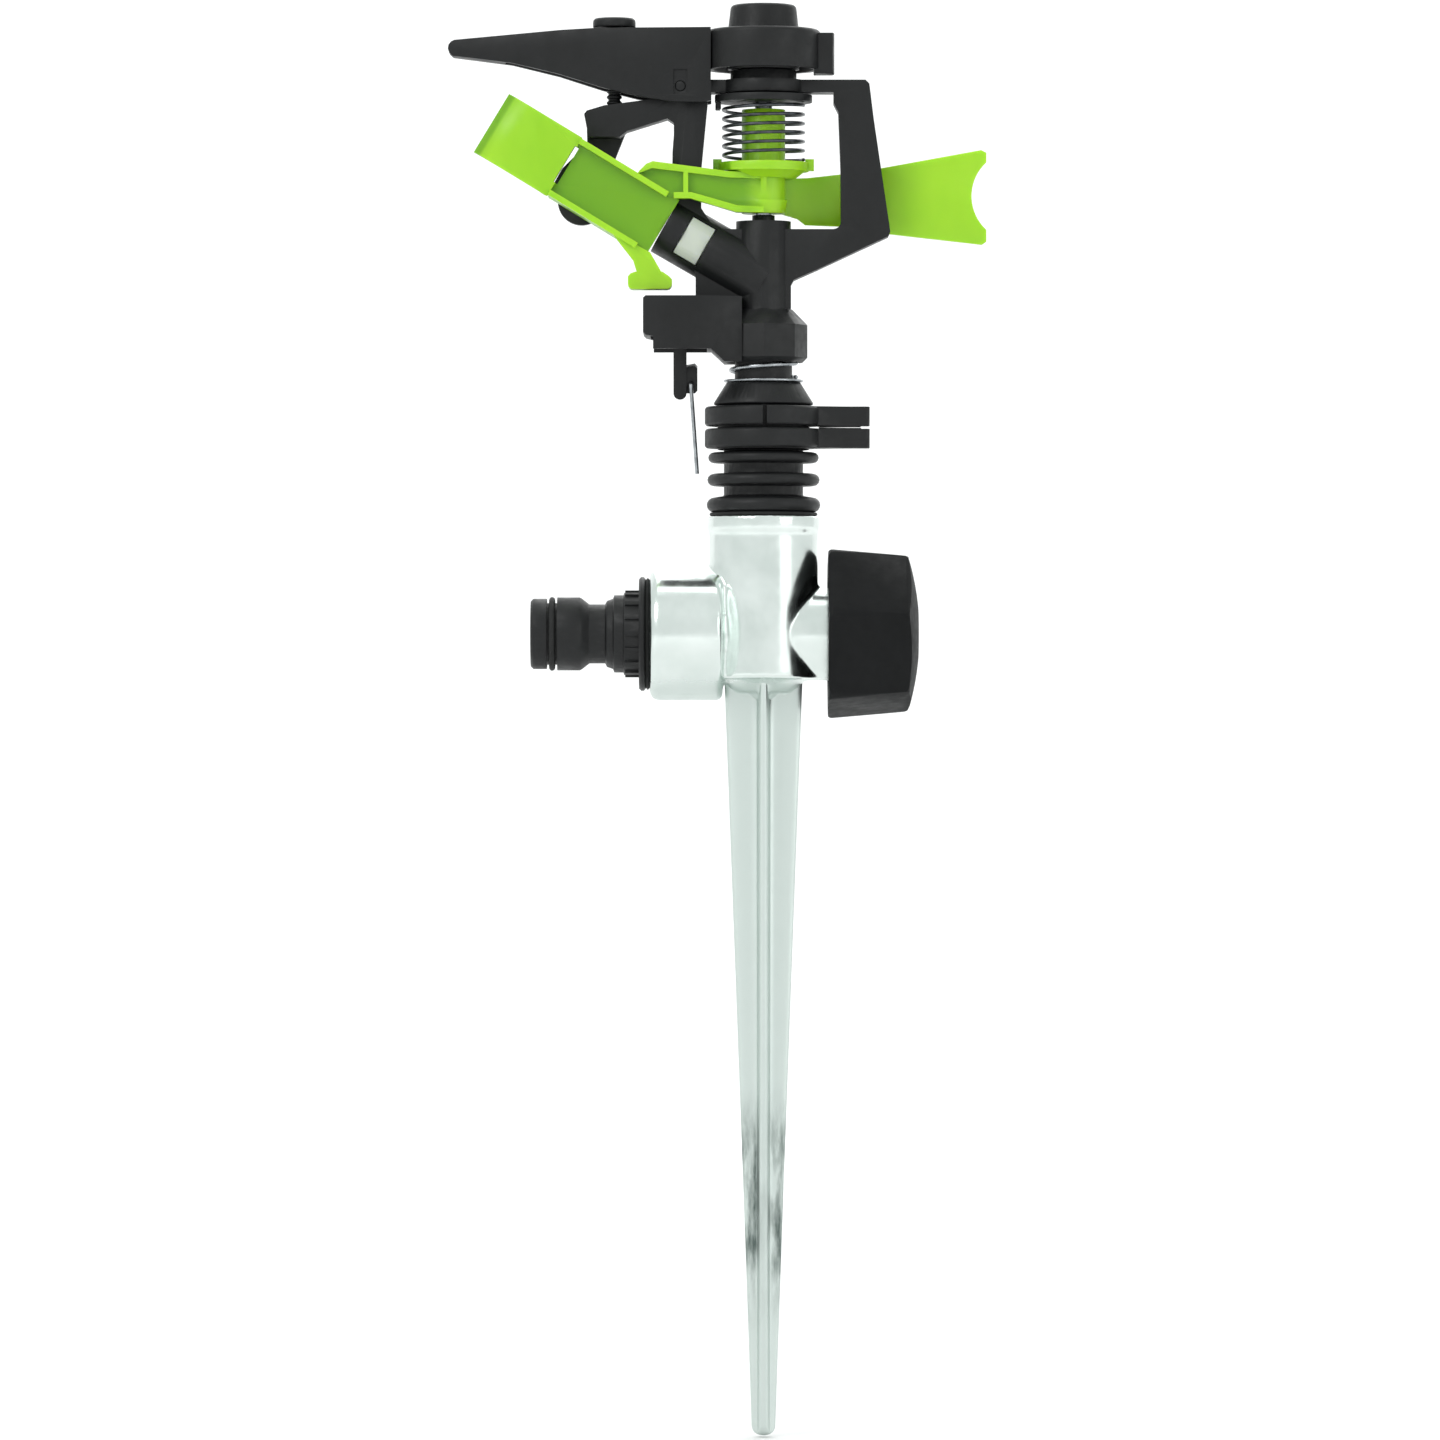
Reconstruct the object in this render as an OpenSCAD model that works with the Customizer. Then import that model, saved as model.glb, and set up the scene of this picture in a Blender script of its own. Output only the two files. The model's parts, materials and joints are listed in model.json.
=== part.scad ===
// Impact sprinkler on a ground spike: a valve body with a hose nipple and a flow
// knob, a swivelling head with a spring-loaded impact arm, and two stop rings.
// +Z is up the swivel axis, the hose nipple points along -X, and the origin is
// where the spike leaves the valve body, at the ground line.

/* [Spike] */
// Length of the spike below the ground line
spike_len = 173; // [150:1:190]
// Width of the spike at its root
spike_root_w = 17.5; // [16:0.5:19]
// Width of the spike near its tip
spike_tip_w = 5; // [4:0.5:6]
// Thickness of each of the two crossed blades
blade_t = 2.4; // [2:0.1:3.2]

/* [Valve body] */
// Height of the hose inlet axis
inlet_z = 11.3; // [11:0.1:12]
// Outside radius of the riser tube
riser_r = 12.5; // [12.3:0.1:13]
// Height of the riser tube's top
riser_top = 38.4; // [38:0.1:38.4]
// Outside radius of the inlet collar
collar_r = 15.25; // [14.5:0.05:15.5]
// Outside radius of the knob boss
boss_r = 10.75; // [10.2:0.05:11]
// Radius of the hose nipple's sealing land
nipple_r = 8.4; // [8.3:0.05:8.5]
// Corner radius of the six-sided flow knob
knob_r = 20.1; // [19:0.1:21]
// Angle of the knob's front corner above the horizontal
knob_clock = 14; // [0:1:59]

/* [Bearing] */
// Radius of the bearing nut between its fins
nut_root_r = 9.1; // [9:0.1:9.6]
// Radius of the bearing nut's fins
fin_r = 12.5; // [12:0.1:12.8]
// Outside radius of the stop rings
ring_r = 13.5; // [13:0.1:13.8]
// Radius that the stop rings' tabs reach to
tab_reach = 24.4; // [22:0.1:26]
// Radius of the swivel tube
tube_r = 6.6; // [6.5:0.05:6.6]

/* [Head] */
// Depth of the frame from front to back
frame_depth = 7.6; // [7:0.1:7.6]
// Upward angle of the water jet
jet_angle = 30; // [29:0.5:31]
// Radius of the nozzle barrel
barrel_r = 6.85; // [6.7:0.05:6.9]
// Radius of the jet where it leaves the nozzle
jet_r = 1.6; // [1.2:0.1:2]
// Radius of the tension cap
cap_r = 13.1; // [12.8:0.1:13.1]

/* [Impact arm] */
// Radius of the pin that the arm swings on
pin_r = 2; // [1.8:0.1:2]
// Upward angle of the arm's water channel
channel_angle = 31.3; // [31:0.1:31.6]
// Length of the arm's water channel
channel_len = 46; // [44:0.5:47]
// Height of the arm's water channel
channel_h = 15.6; // [15:0.1:15.8]
// Outside radius of the arm spring
spring_r = 9.6; // [9.2:0.1:9.8]
// Wire diameter of the arm spring
spring_wire = 0.8; // [0.6:0.1:0.9]

/* [Trip gear] */
// Angle that the trip lever leans from upright in each of its two states
trip_lean = 12; // [8:1:12]
// Wire radius of the trip wire
wire_r = 0.45; // [0.4:0.05:0.5]

/* [Hidden] */

$fn = 64;
// Overshoot of a cutting solid past the face it cuts
over = 0.5;
// Radial clearance of a shaft that turns in its bore
run = 0.06;
// Radial clearance of a pin or thread that is fixed in its hole
snug = 0.03;

chrome = "#cfd8d5";
black = "#2c2d2f";
rubber = "#1d1d1e";
green = "#8fd02c";
steel = "#8d9296";
brass = "#b9995a";
ivory = "#cdd5cc";

// Valve body: where the inlet collar and the knob boss end, and the bores inside
collar_out_x = -26.1;
collar_in_x = -9.5;
neck_r = 9.6;
boss_out_x = 16.4;
socket_r = 10;
socket_in_x = -14;
plug_r = 7.94;
chamber_r = 8;
channel_r = 6.5;
nut_socket_r = 9.7;
nut_socket_z = 26;
stem_r = 3.6;
knob_in_x = 14.85;
knob_side_x = 32.6;
knob_out_x = 35.9;

// Bearing heights
ring_low_z = [54, 58.4];
ring_high_z = [59.1, 63.5];
tab_seam = 58.75;
groove_r = 10.6;
cone_z = [63.9, 69.2];
tube_bottom = 53;
tube_len = 29;
shoulder_z = 60.5;

// Head heights
head_bottom = 73.6;
jet_root_z = 92.2;
face_u = 26;
window_bottom = 104.2;
bar_bottom = 135.6;
bar_top = 138.5;
half_frame = frame_depth / 2;
cap_shaft_r = 5.45;

// The arm's left side clears the frame's front and its tail clears the back by this gap
arm_gap = 0.6;
web_t = 1.9;
flange_t = 3.6;
hub_r = 5;
hub_z = [107.9, 117.6];
seat_z = [117.6, 119.6];
sleeve_top = 131.8;
channel_root = [-23.1, 104.5];

// Deflector: hinge point and screw axis
hinge_at = [-19.1, 136.9];
screw_x = -34.3;
screw_r = 1.75;
flap_half_w = 6.2;
hinge_r = 1.2;

// Trip gear axes
trip_z = 82;
trip_pin_r = 1.2;
reverse_at = [5.5, 84.5];
reverse_pin_r = 1;
lever_x = [-20.7, -17.7];
reverse_x = [-24.6, -21.8];
wire_at = [-16.7, 68.9];

// A solid of revolution about the inlet axis, its profile given as [radius, x]
module turn_x(profile) {
    translate([0, 0, inlet_z])
        rotate([90, 0, 90])
            rotate_extrude()
                polygon(profile);
}

// A round bar or hole along the inlet axis from x0 to x1
module rod_x(r, x0, x1) {
    translate([x0, 0, inlet_z])
        rotate([0, 90, 0])
            cylinder(h = x1 - x0, r = r);
}

// A solid whose outline is drawn in X and Z, between two Y planes
module side_plate(y0, y1) {
    translate([0, y1, 0])
        rotate([90, 0, 0])
            linear_extrude(height = y1 - y0)
                children();
}

// A round bar or hole along Y through the point [x, z]
module rod_y(at, r, y0, y1) {
    side_plate(y0, y1)
        translate(at)
            circle(r);
}

// A flat ring about the swivel axis
module washer(r_in, r_out, z0, z1) {
    translate([0, 0, z0])
        difference() {
            cylinder(h = z1 - z0, r = r_out);
            translate([0, 0, -over])
                cylinder(h = z1 - z0 + 2 * over, r = r_in);
        }
}

// The frame of the water jet: Z runs out along the jet, from the swivel axis
module on_jet() {
    translate([0, 0, jet_root_z])
        rotate([0, jet_angle - 90, 0])
            children();
}

// The frame of the arm's water channel: X runs outwards along it, Z across it
module on_channel() {
    translate([channel_root.x, 0, channel_root.y])
        mirror([1, 0, 0])
            rotate([0, -channel_angle, 0])
                children();
}

// An arc of points about a centre, from angle a0 to a1
function arc(c, r, a0, a1, n = 8) =
    [for (i = [0 : n]) c + r * [cos(a0 + (a1 - a0) * i / n), sin(a0 + (a1 - a0) * i / n)]];

// Point k of m round the wire, and point i of n along the helix
function coil_point(r, w, z0, pitch, n, m, i, k) =
    let (turn = 360 * i / n, side = 360 * k / m)
    [(r + w * cos(side)) * cos(turn), (r + w * cos(side)) * sin(turn),
        z0 + pitch * i / n + w * sin(side)];

// A helical wire: mean radius r, wire radius w, rising from z0 for the given turns
module coil(r, w, z0, pitch, turns, n = 18, m = 6) {
    last = round(turns * n);
    polyhedron(
        points = [for (i = [0 : last]) for (k = [0 : m - 1])
            coil_point(r, w, z0, pitch, n, m, i, k)],
        faces = concat(
            [for (i = [0 : last - 1]) for (k = [0 : m - 1])
                [i * m + k, i * m + (k + 1) % m, (i + 1) * m + (k + 1) % m]],
            [for (i = [0 : last - 1]) for (k = [0 : m - 1])
                [i * m + k, (i + 1) * m + (k + 1) % m, (i + 1) * m + k]],
            [[for (k = [0 : m - 1]) m - 1 - k]],
            [[for (k = [0 : m - 1]) last * m + k]]));
}

// One blade of the spike, tapering to a rounded point
module spike_blade() {
    tip = spike_tip_w / 2;
    side_plate(-blade_t / 2, blade_t / 2)
        polygon(concat(
            [[-spike_root_w / 2, 3], [-spike_root_w / 2, 0]],
            arc([0, tip - spike_len], tip, 180, 360),
            [[spike_root_w / 2, 0], [spike_root_w / 2, 3]]));
}

// Casting of the spike, inlet collar, knob boss and riser tube in one
module spike_body() {
    color(chrome)
        difference() {
            union() {
                spike_blade();
                rotate([0, 0, 90])
                    spike_blade();
                translate([0, 0, 6 - spike_len])
                    cylinder(h = spike_len - 4, r1 = 1.5, r2 = 3.6);
                translate([0, 0, -2])
                    cylinder(h = 3, r1 = 6, r2 = 10.5);
                translate([0, 0, 1])
                    cylinder(h = riser_top - 1, r = riser_r);
                translate([0, 0, riser_top - 4])
                    cylinder(h = 1, r1 = riser_r, r2 = riser_r + 0.35);
                translate([0, 0, riser_top - 3])
                    cylinder(h = 3, r = riser_r + 0.35);
                turn_x(concat(
                    [[0, 0], [0, collar_out_x]],
                    arc([collar_r - 2, collar_out_x + 2], 2, -90, 0),
                    [[collar_r, collar_in_x - 0.8], [collar_r - 0.8, collar_in_x],
                        [neck_r, collar_in_x + 0.4], [neck_r, 0]]));
                turn_x([[0, 0], [boss_r, 0], [boss_r, boss_out_x - 0.6],
                    [boss_r - 0.6, boss_out_x], [0, boss_out_x]]);
            }
            rod_x(socket_r, collar_out_x - over, socket_in_x);
            rod_x(channel_r, socket_in_x - over, 0);
            rod_x(chamber_r, -7, boss_out_x + over);
            translate([0, 0, inlet_z])
                cylinder(h = riser_top, r = channel_r);
            translate([0, 0, nut_socket_z])
                cylinder(h = riser_top, r = nut_socket_r);
        }
}

// Tapped-in hose nipple for a push-fit connector, with its grip ribs and flange
module hose_nipple() {
    rib_count = 16;
    color(black)
        union() {
            turn_x([[4.6, -53.5], [7.5, -53.5], [8.1, -52.9], [8.1, -49.8], [7.1, -49.8],
                [7.1, -47.4], [nipple_r, -47.4], [nipple_r, -42.2], [8.1, -41.7], [6.8, -40],
                [6.8, -36.4], [7.6, -36], [8.1, -34.6], [8.9, -34.3], [8.9, -32.2], [9.5, -32],
                [9.5, -28.6], [12.6, -28.6], [13.1, -28.1], [13.1, -27.5], [12.6, -27.1],
                [socket_r - 0.1, -27.1], [socket_r - 0.1, socket_in_x - 0.4], [4.6, socket_in_x - 0.4]]);
            for (i = [0 : rib_count - 1])
                translate([0, 0, inlet_z])
                    rotate([i * 360 / rib_count, 0, 0])
                        translate([-31.8, -0.6, 9])
                            cube([3.4, 1.2, 1]);
        }
}

module nipple_o_ring() {
    color(rubber)
        turn_x(arc([7.8, -48.6], 0.68, 0, 345, 23));
}

module nipple_gasket() {
    color(rubber)
        turn_x([[socket_r, -27.08], [12.4, -27.08], [12.9, -26.6], [12.4, -26.12],
            [socket_r, -26.12]]);
}

// Hollow plug with a side port: the inlet opens into its end, the riser into its side
module valve_plug() {
    color(brass)
        difference() {
            union() {
                rod_x(plug_r, -6.7, 6.5);
                rod_x(stem_r, 6.4, 27);
            }
            rod_x(5.2, -6.7 - over, 3.6);
            translate([0, 0, inlet_z])
                cylinder(h = plug_r + over, r = 4.6);
            rod_x(1.2, 19, 27 + over);
        }
}

module stem_o_ring() {
    color(rubber)
        turn_x(arc([4.42, 8.4], 0.76, 0, 345, 23));
}

// Bush that closes the plug chamber and guides the stem
module valve_bonnet() {
    color(black)
        difference() {
            rod_x(chamber_r - snug, 6.9, boss_out_x - 0.2);
            rod_x(stem_r + run, 6.9 - over, boss_out_x + over);
            rod_x(5.22, 6.9 - over, 9.4);
        }
}

// Six-sided flow knob with a domed end, turning with the plug's stem; its hollow side
// reaches over the end of the boss
module flow_knob() {
    skirt = knob_side_x - knob_in_x;
    dome_r = 62;
    screw_hole_r = 1.4;
    screw_seat_x = 30.5;
    hub_in_x = 17;
    color(black)
        difference() {
            intersection() {
                translate([knob_in_x, 0, inlet_z])
                    rotate([-knob_clock, 0, 0])
                        rotate([0, 90, 0])
                            rotate([0, 0, 90])
                                cylinder(h = skirt + 3, r1 = knob_r + 0.4, r2 = knob_r - 1.8, $fn = 6);
                turn_x(concat(
                    [[0, knob_in_x]],
                    arc([knob_r - 1.2, knob_in_x + 1], 1, -90, 0, 4),
                    arc([knob_r - 3, knob_side_x - 0.6], 1.6, 0, 50, 4),
                    arc([0, knob_out_x - dome_r], dome_r, 73.6, 90, 8)));
            }
            rod_x(13.5, knob_in_x - over, 28);
            rod_x(screw_hole_r, 28 - over, 31);
            rod_x(3.2, screw_seat_x, knob_out_x + over);
        }
    color(black)
        difference() {
            rod_x(6.2, hub_in_x, screw_seat_x);
            rod_x(stem_r + snug, hub_in_x - over, 27.1);
            rod_x(screw_hole_r, 26, screw_seat_x + over);
        }
}

// Screw down the centre of the knob that holds it on the stem
module knob_screw() {
    color(steel)
        difference() {
            union() {
                rod_x(1.15, 19.5, 31);
                rod_x(2.9, 30.52, 32.3);
            }
            for (turn = [0, 90])
                translate([32.3, 0, inlet_z])
                    rotate([turn, 0, 0])
                        cube([1.6, 0.8, 3.4], center = true);
        }
}

// Fixed nut with finger fins that holds the swivel bearing in the riser
module bearing_nut() {
    fin = fin_r - 1;
    color(black)
        rotate_extrude()
            polygon(concat(
                [[8.1, nut_socket_z + 0.4], [nut_socket_r - 0.1, nut_socket_z + 0.4],
                    [nut_socket_r - 0.1, riser_top + 0.84]],
                arc([riser_r - 1.15, riser_top + 2.54], 1.7, -90, 90, 8),
                [[nut_root_r, 43]],
                [[nut_root_r, 45.3]], arc([fin, 46.7], 1.4, -90, 90, 6), [[nut_root_r, 48.1]],
                [[nut_root_r, 50.6]], arc([fin, 51.8], 1.2, -90, 90, 6), [[nut_root_r, 53]],
                [[nut_root_r, 53.6], [groove_r, 53.6], [groove_r, cone_z[0]],
                    [11.4, cone_z[0]], [11.4, 64.4], [8.4, cone_z[1]], [tube_r + run, cone_z[1]],
                    [tube_r + run, shoulder_z], [8.1, shoulder_z]]));
}

module bearing_gasket() {
    color(rubber)
        rotate_extrude()
            polygon(concat([[nut_socket_r, riser_top]],
                arc([riser_r - 0.5, riser_top + 0.41], 0.4, -90, 90, 6),
                [[nut_socket_r, riser_top + 0.82]]));
}

// Two hard washers, one on each side of the soft seal washer
module wear_washers() {
    color(ivory)
        for (z = [55.1, 59])
            washer(tube_r + run, 7.9, z, z + 1.4);
}

module seal_washer() {
    color(rubber)
        washer(tube_r + run, 7.8, 56.55, 58.95);
}

module spring_washer() {
    color(steel)
        washer(tube_r + 0.2, 9.1, cone_z[1] + 0.02, cone_z[1] + 0.52);
}

// Compression spring that lifts the head and keeps the bearing washers closed
module bearing_spring() {
    color(steel)
        coil(7.45, 0.5, cone_z[1] + 1.1, 3.2, 2.7); // mean radius, wire radius, start, lead, turns
}

// Split stop ring with a tab, at the given heights; the split faces the given angle,
// and the tab's root is raised to the given heights so that it nearly meets the other
module stop_ring(z, root, split) {
    color(black)
        difference() {
            union() {
                rotate_extrude()
                    polygon([[groove_r + run, z[0]], [ring_r - 0.4, z[0]], [ring_r, z[0] + 0.5],
                        [ring_r, z[1] - 0.5], [ring_r - 0.4, z[1]], [groove_r + run, z[1]]]);
                difference() {
                    translate([0, 0, z[0]])
                        linear_extrude(height = z[1] - z[0])
                            polygon(concat([[11.5, -5.2], [18.9, -2.8]],
                                arc([tab_reach - 1, -1.8], 1, -90, 0, 4),
                                arc([tab_reach - 1, 1.8], 1, 0, 90, 4),
                                [[18.9, 2.8], [11.5, 5.2]]));
                    translate([0, 0, z[0] - over])
                        cylinder(h = 2 * over + z[1] - z[0], r = 11.6);
                }
                translate([0, 0, root[0]])
                    linear_extrude(height = root[1] - root[0])
                        polygon([[ring_r - 0.8, -4.4], [18.9, -2.8], [22.4, -2.8], [22.4, 2.8],
                            [18.9, 2.8], [ring_r - 0.8, 4.4]]);
            }
            rotate([0, 0, split])
                translate([10, -0.45, z[0] - over])
                    cube([5, 0.9, z[1] - z[0] + 2 * over]);
        }
}

module stop_ring_lower() {
    stop_ring(ring_low_z, [ring_low_z[0], tab_seam - 0.15], 100);
}

module stop_ring_upper() {
    stop_ring(ring_high_z, [tab_seam + 0.15, ring_high_z[1]], -89);
}

// Hollow tube that carries the head and turns in the bearing nut
module swivel_tube() {
    color(black)
        difference() {
            union() {
                translate([0, 0, tube_bottom])
                    cylinder(h = tube_len, r = tube_r);
                translate([0, 0, tube_bottom])
                    cylinder(h = 2, r = 7.8);
            }
            translate([0, 0, tube_bottom - over])
                cylinder(h = tube_len + 2 * over, r = 4.5);
        }
}

// Outline of the head's frame round its window
module frame_outline() {
    difference() {
        polygon([[-15.6, 86], [-15.6, 94], [-21.2, 104], [-20.9, 122], [-20.2, 131], [-20.8, 135.4],
            [-19.8, bar_top], [23.4, bar_top], [24.3, 137.6], [25.3, 129.5], [26.9, 118.7],
            [29.1, 103.6], [28.7, 102.6], [12.4, 95], [7, 92.6], [6.3, 91.4], [6.3, 86]]);
        polygon(concat(
            [[-11.2, window_bottom], [-14.3, 109], [-14.3, 118], [-12.6, bar_bottom],
                [16.1, bar_bottom], [16.1, 133.2], [17.2, 131], [17.7, 118]],
            arc([16, window_bottom + 1.8], 1.8, 0, -90, 4)));
    }
}

// Beam to the left of the frame that the deflector screw threads into
module bracket_beam() {
    polygon([[-19, 135.8], [-26, 134], [-36.6, 132.6], [-40.6, 131.4], [-41.2, 130.6],
        [-40.2, 125.4], [-33, 125.4], [-31.4, 126.7], [-22.1, 129.6], [-20.6, 128.6],
        [-20.6, 120], [-19, 120]]);
}

// Leg that hangs from the beam, behind the water channel, with a round pad at its foot
module bracket_leg() {
    union() {
        polygon([[-40.8, 131.2], [-32.6, 130.4], [-31.8, 126.7], [-34.3, 120.5], [-36.4, 111.1],
            [-47.4, 111.1], [-49.2, 113.6], [-46.4, 118.6], [-40.6, 124.4]]);
        translate([-41.9, 111.1])
            circle(5.5);
    }
}

// Outline of the trip housing
module housing_outline() {
    polygon([[-27, 88.55], [-27.6, 88], [-27.6, 80.2], [-27, 79.6], [-25.3, 79.2], [-25.3, 76.4],
        [-12, 76.4], [-9, head_bottom], [-5, head_bottom], [-5, 88.55]]);
}

// Head moulding: elbow, nozzle barrel, frame, bracket, collar and trip housing
module head_body() {
    color(black)
        difference() {
            union() {
                side_plate(-half_frame, half_frame)
                    frame_outline();
                side_plate(-half_frame, half_frame)
                    bracket_beam();
                side_plate(4.2, 7)
                    bracket_leg();
                side_plate(3, 7)
                    polygon([[-40.8, 130.8], [-32.6, 130.4], [-31.8, 126.7], [-33, 125.4],
                        [-40.2, 125.4]]);
                intersection() {
                    side_plate(-12.4, 8.8)
                        housing_outline();
                    translate([0, 0, 70])
                        linear_extrude(height = 20)
                            polygon([[-28, -13], [-12.6, -13], [-12.6, -12.4], [-4.9, -8.6], [-4.9, 9],
                                [-28, 9]]);
                }
                translate([0, 0, head_bottom])
                    cylinder(h = 1.2, r1 = 8.9, r2 = 10.1, $fn = 8);
                translate([0, 0, head_bottom + 1.2])
                    cylinder(h = 7.5, r = 10.1, $fn = 8);
                translate([0, 0, head_bottom + 8.7])
                    cylinder(h = 3.6, r1 = 10.1, r2 = 6.6, $fn = 8);
                translate([0, 0, 85])
                    cylinder(h = 21.1, r = 6.3);
                translate([0, 0, 106.1])
                    cylinder(h = 1.4, r = 2.6);
                on_jet()
                    cylinder(h = face_u, r = barrel_r);
                rod_y(hinge_at, 2.6, -half_frame, half_frame);
                translate([0, 0, bar_top - 1])
                    cylinder(h = 3.2, r = 7.6);
                translate([0, 0, bar_bottom])
                    cylinder(h = bar_top - bar_bottom, r = 9.5);
            }
            translate([0, 0, head_bottom - over])
                cylinder(h = tube_bottom + tube_len - head_bottom + over + 0.1, r = tube_r + snug);
            translate([0, 0, head_bottom - over])
                cylinder(h = 7.2, r = 8.4);
            translate([0, 0, head_bottom])
                cylinder(h = jet_root_z - head_bottom, r = 4.6);
            translate([0, 0, jet_root_z])
                sphere(r = 4.6);
            on_jet()
                cylinder(h = 15, r = 4.6);
            on_jet()
                translate([0, 0, 14])
                    cylinder(h = face_u, r = 5.2);
            on_jet()
                translate([-4.9, -8, 15.2])
                    cube([9.8, 16, 6.3]);
            translate([0, 0, 99])
                cylinder(h = 10, r = pin_r + snug);
            translate([0, 0, 130])
                cylinder(h = 12, r = cap_shaft_r + run);
            rod_y(hinge_at, hinge_r + snug, -6, 6);
            translate([screw_x, 0, 126.4])
                cylinder(h = 10, r = screw_r + run);
            trip_cavity();
        }
}

// Space for the trip gear: the chamber, the slot in its roof and the two pin holes
module trip_cavity() {
    translate([-25.9, -11.3, 75])
        cube([12.9, 19, 12.3]);
    translate([reverse_x[0] - 0.4, -11.3, 87])
        cube([reverse_x[1] - reverse_x[0] + 0.8, 6.4, 2]);
    translate([-28, 0, trip_z])
        rotate([0, 90, 0])
            cylinder(h = 16.4, r = trip_pin_r + snug);
    translate([-28, reverse_at[0], reverse_at[1]])
        rotate([0, 90, 0])
            cylinder(h = 16.4, r = reverse_pin_r + snug);
}

// Nozzle that snaps into the barrel, its two pads showing in the side windows
module nozzle_insert() {
    color(ivory)
        on_jet()
            difference() {
                union() {
                    translate([0, 0, 14.1])
                        cylinder(h = face_u - 14.2, r = 5.15);
                    intersection() {
                        translate([-4.65, -6.3, 15.45])
                            cube([9.3, 12.6, 5.8]);
                        translate([0, 0, 15])
                            cylinder(h = 7, r = barrel_r - 0.1);
                    }
                }
                translate([0, 0, 14])
                    cylinder(h = 9, r1 = 4.2, r2 = jet_r);
                translate([0, 0, 14])
                    cylinder(h = 14, r = jet_r);
                translate([0, 0, 24.8])
                    cylinder(h = 2, r1 = jet_r, r2 = jet_r + 2);
            }
}

// Crossed vanes that stop the water swirling ahead of the nozzle
module stream_straightener() {
    color(ivory)
        on_jet()
            intersection() {
                union() {
                    translate([-5, -0.4, 5])
                        cube([10, 0.8, 8.6]);
                    translate([-0.4, -5, 5])
                        cube([0.8, 10, 8.6]);
                }
                translate([0, 0, 4])
                    cylinder(h = 12, r = 4.55);
            }
}

module arm_pin() {
    color(steel)
        translate([0, 0, 99.2])
            cylinder(h = 45.4, r = pin_r);
}

// Outline of the arm's tail, with a hollow curve cut in its end
module tail_outline() {
    difference() {
        polygon([[0, 116], [9.9, 116.4], [17.9, 117.3], [27.1, 118.7], [50.2, 122.9], [51.4, 122.3],
            [51.4, 101.8], [50.4, 101.1], [29.2, 103.5], [17.5, 105.3], [9.6, 105.6], [7.8, 107],
            [4, 108.1], [0, 108.1]]);
        translate([58.6, 112.3])
            circle(10.6);
    }
}

// Outline of the left side of the arm, from the hub to the water channel
module arm_outline() {
    polygon([[-29.6, 116.2], [-26.2, 119.1], [-9, 116.6], [0, 116.6], [0, 108.2], [-6.2, 108.4],
        [-16.8, 111.2], [-20.6, 111.2], [-22.6, 112]]);
}

// Flanges along the top and bottom of the arm's left side, and the rib between them
module arm_flanges() {
    polygon([[-29, 116.6], [-28.4, 117.4], [-26.9, 118.9], [-25.4, 119.5], [-8, 117.2], [0, 117],
        [0, 115.6], [-8, 115.8], [-25.6, 117.9]]);
    polygon([[-20.6, 112.4], [-16.6, 112.4], [-6, 109.4], [0, 109.2], [0, 107.9], [-6.2, 107.9],
        [-16.8, 111], [-20.6, 111]]);
    polygon([[-18.4, 118], [-17.3, 118], [-17.3, 111.4], [-18.4, 111.4]]);
}

// A plate of the drawn outline that leaves the hub and bends out past the frame:
// side is -1 for the left part, which bends to the front, and 1 for the tail behind
module bent_plate(side, t) {
    near = 2.4;
    far = half_frame + arm_gap;
    intersection() {
        side_plate(-9, 9)
            children();
        translate([0, 0, 90])
            linear_extrude(height = 40)
                polygon([[0, side * near], [side * 12, side * far], [side * 60, side * far],
                    [side * 60, side * (far + t)], [side * 11.4, side * (far + t)],
                    [0, side * (near + t + 0.6)]]);
    }
}

// Leg under the channel, ending in the foot that the reverse lever stops
module foot_leg() {
    side_plate(-8, -5)
        polygon([[-35.2, 103.6], [-26, 98.6], [-22.9, 93.2], [-28.8, 93.2], [-29.9, 96.8]]);
    side_plate(-8, -2)
        polygon(concat(
            arc([-29.9, 91.4], 1.2, 180, 270, 5),
            arc([-22.2, 91.4], 1.2, -90, 0, 5),
            [[-21, 92.4], [-21.6, 93.1], [-23.2, 94.2], [-29.4, 94.2], [-30.5, 93.8],
                [-31.1, 93.1]]));
}

// The water channel: a flat inner trough and a curled outer spoon
module water_channel() {
    half = channel_h / 2;
    wall = 1.3;
    inner = 2.9;
    split = 26.3;
    on_channel()
        difference() {
            union() {
                translate([0, -6.2, -half + 0.5])
                    cube([split + 1, 1.5, channel_h - 1]);
                translate([split + 0.6, -7.9, -half])
                    cube([1.2, 3.2, channel_h]);
                for (v = [-half + 0.3, half - 0.3 - wall])
                    translate([inner, -9.2, v])
                        cube([split - inner, 12.4, wall]);
                translate([0, 0, -half])
                    linear_extrude(height = channel_h)
                        polygon([[split, -8], [channel_len - 6, -8], [channel_len - 2, -7.2],
                            [channel_len, -5.6], [channel_len, -3.6], [channel_len - 3, -5.2],
                            [channel_len - 7, -6.4], [split, -6.4]]);
                translate([6, -5.2, -1])
                    cube([14, 2.8, 1]);
            }
            translate([split - 0.5, -10, -4.2])
                cube([1, 8, 9.6]);
        }
}

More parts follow.
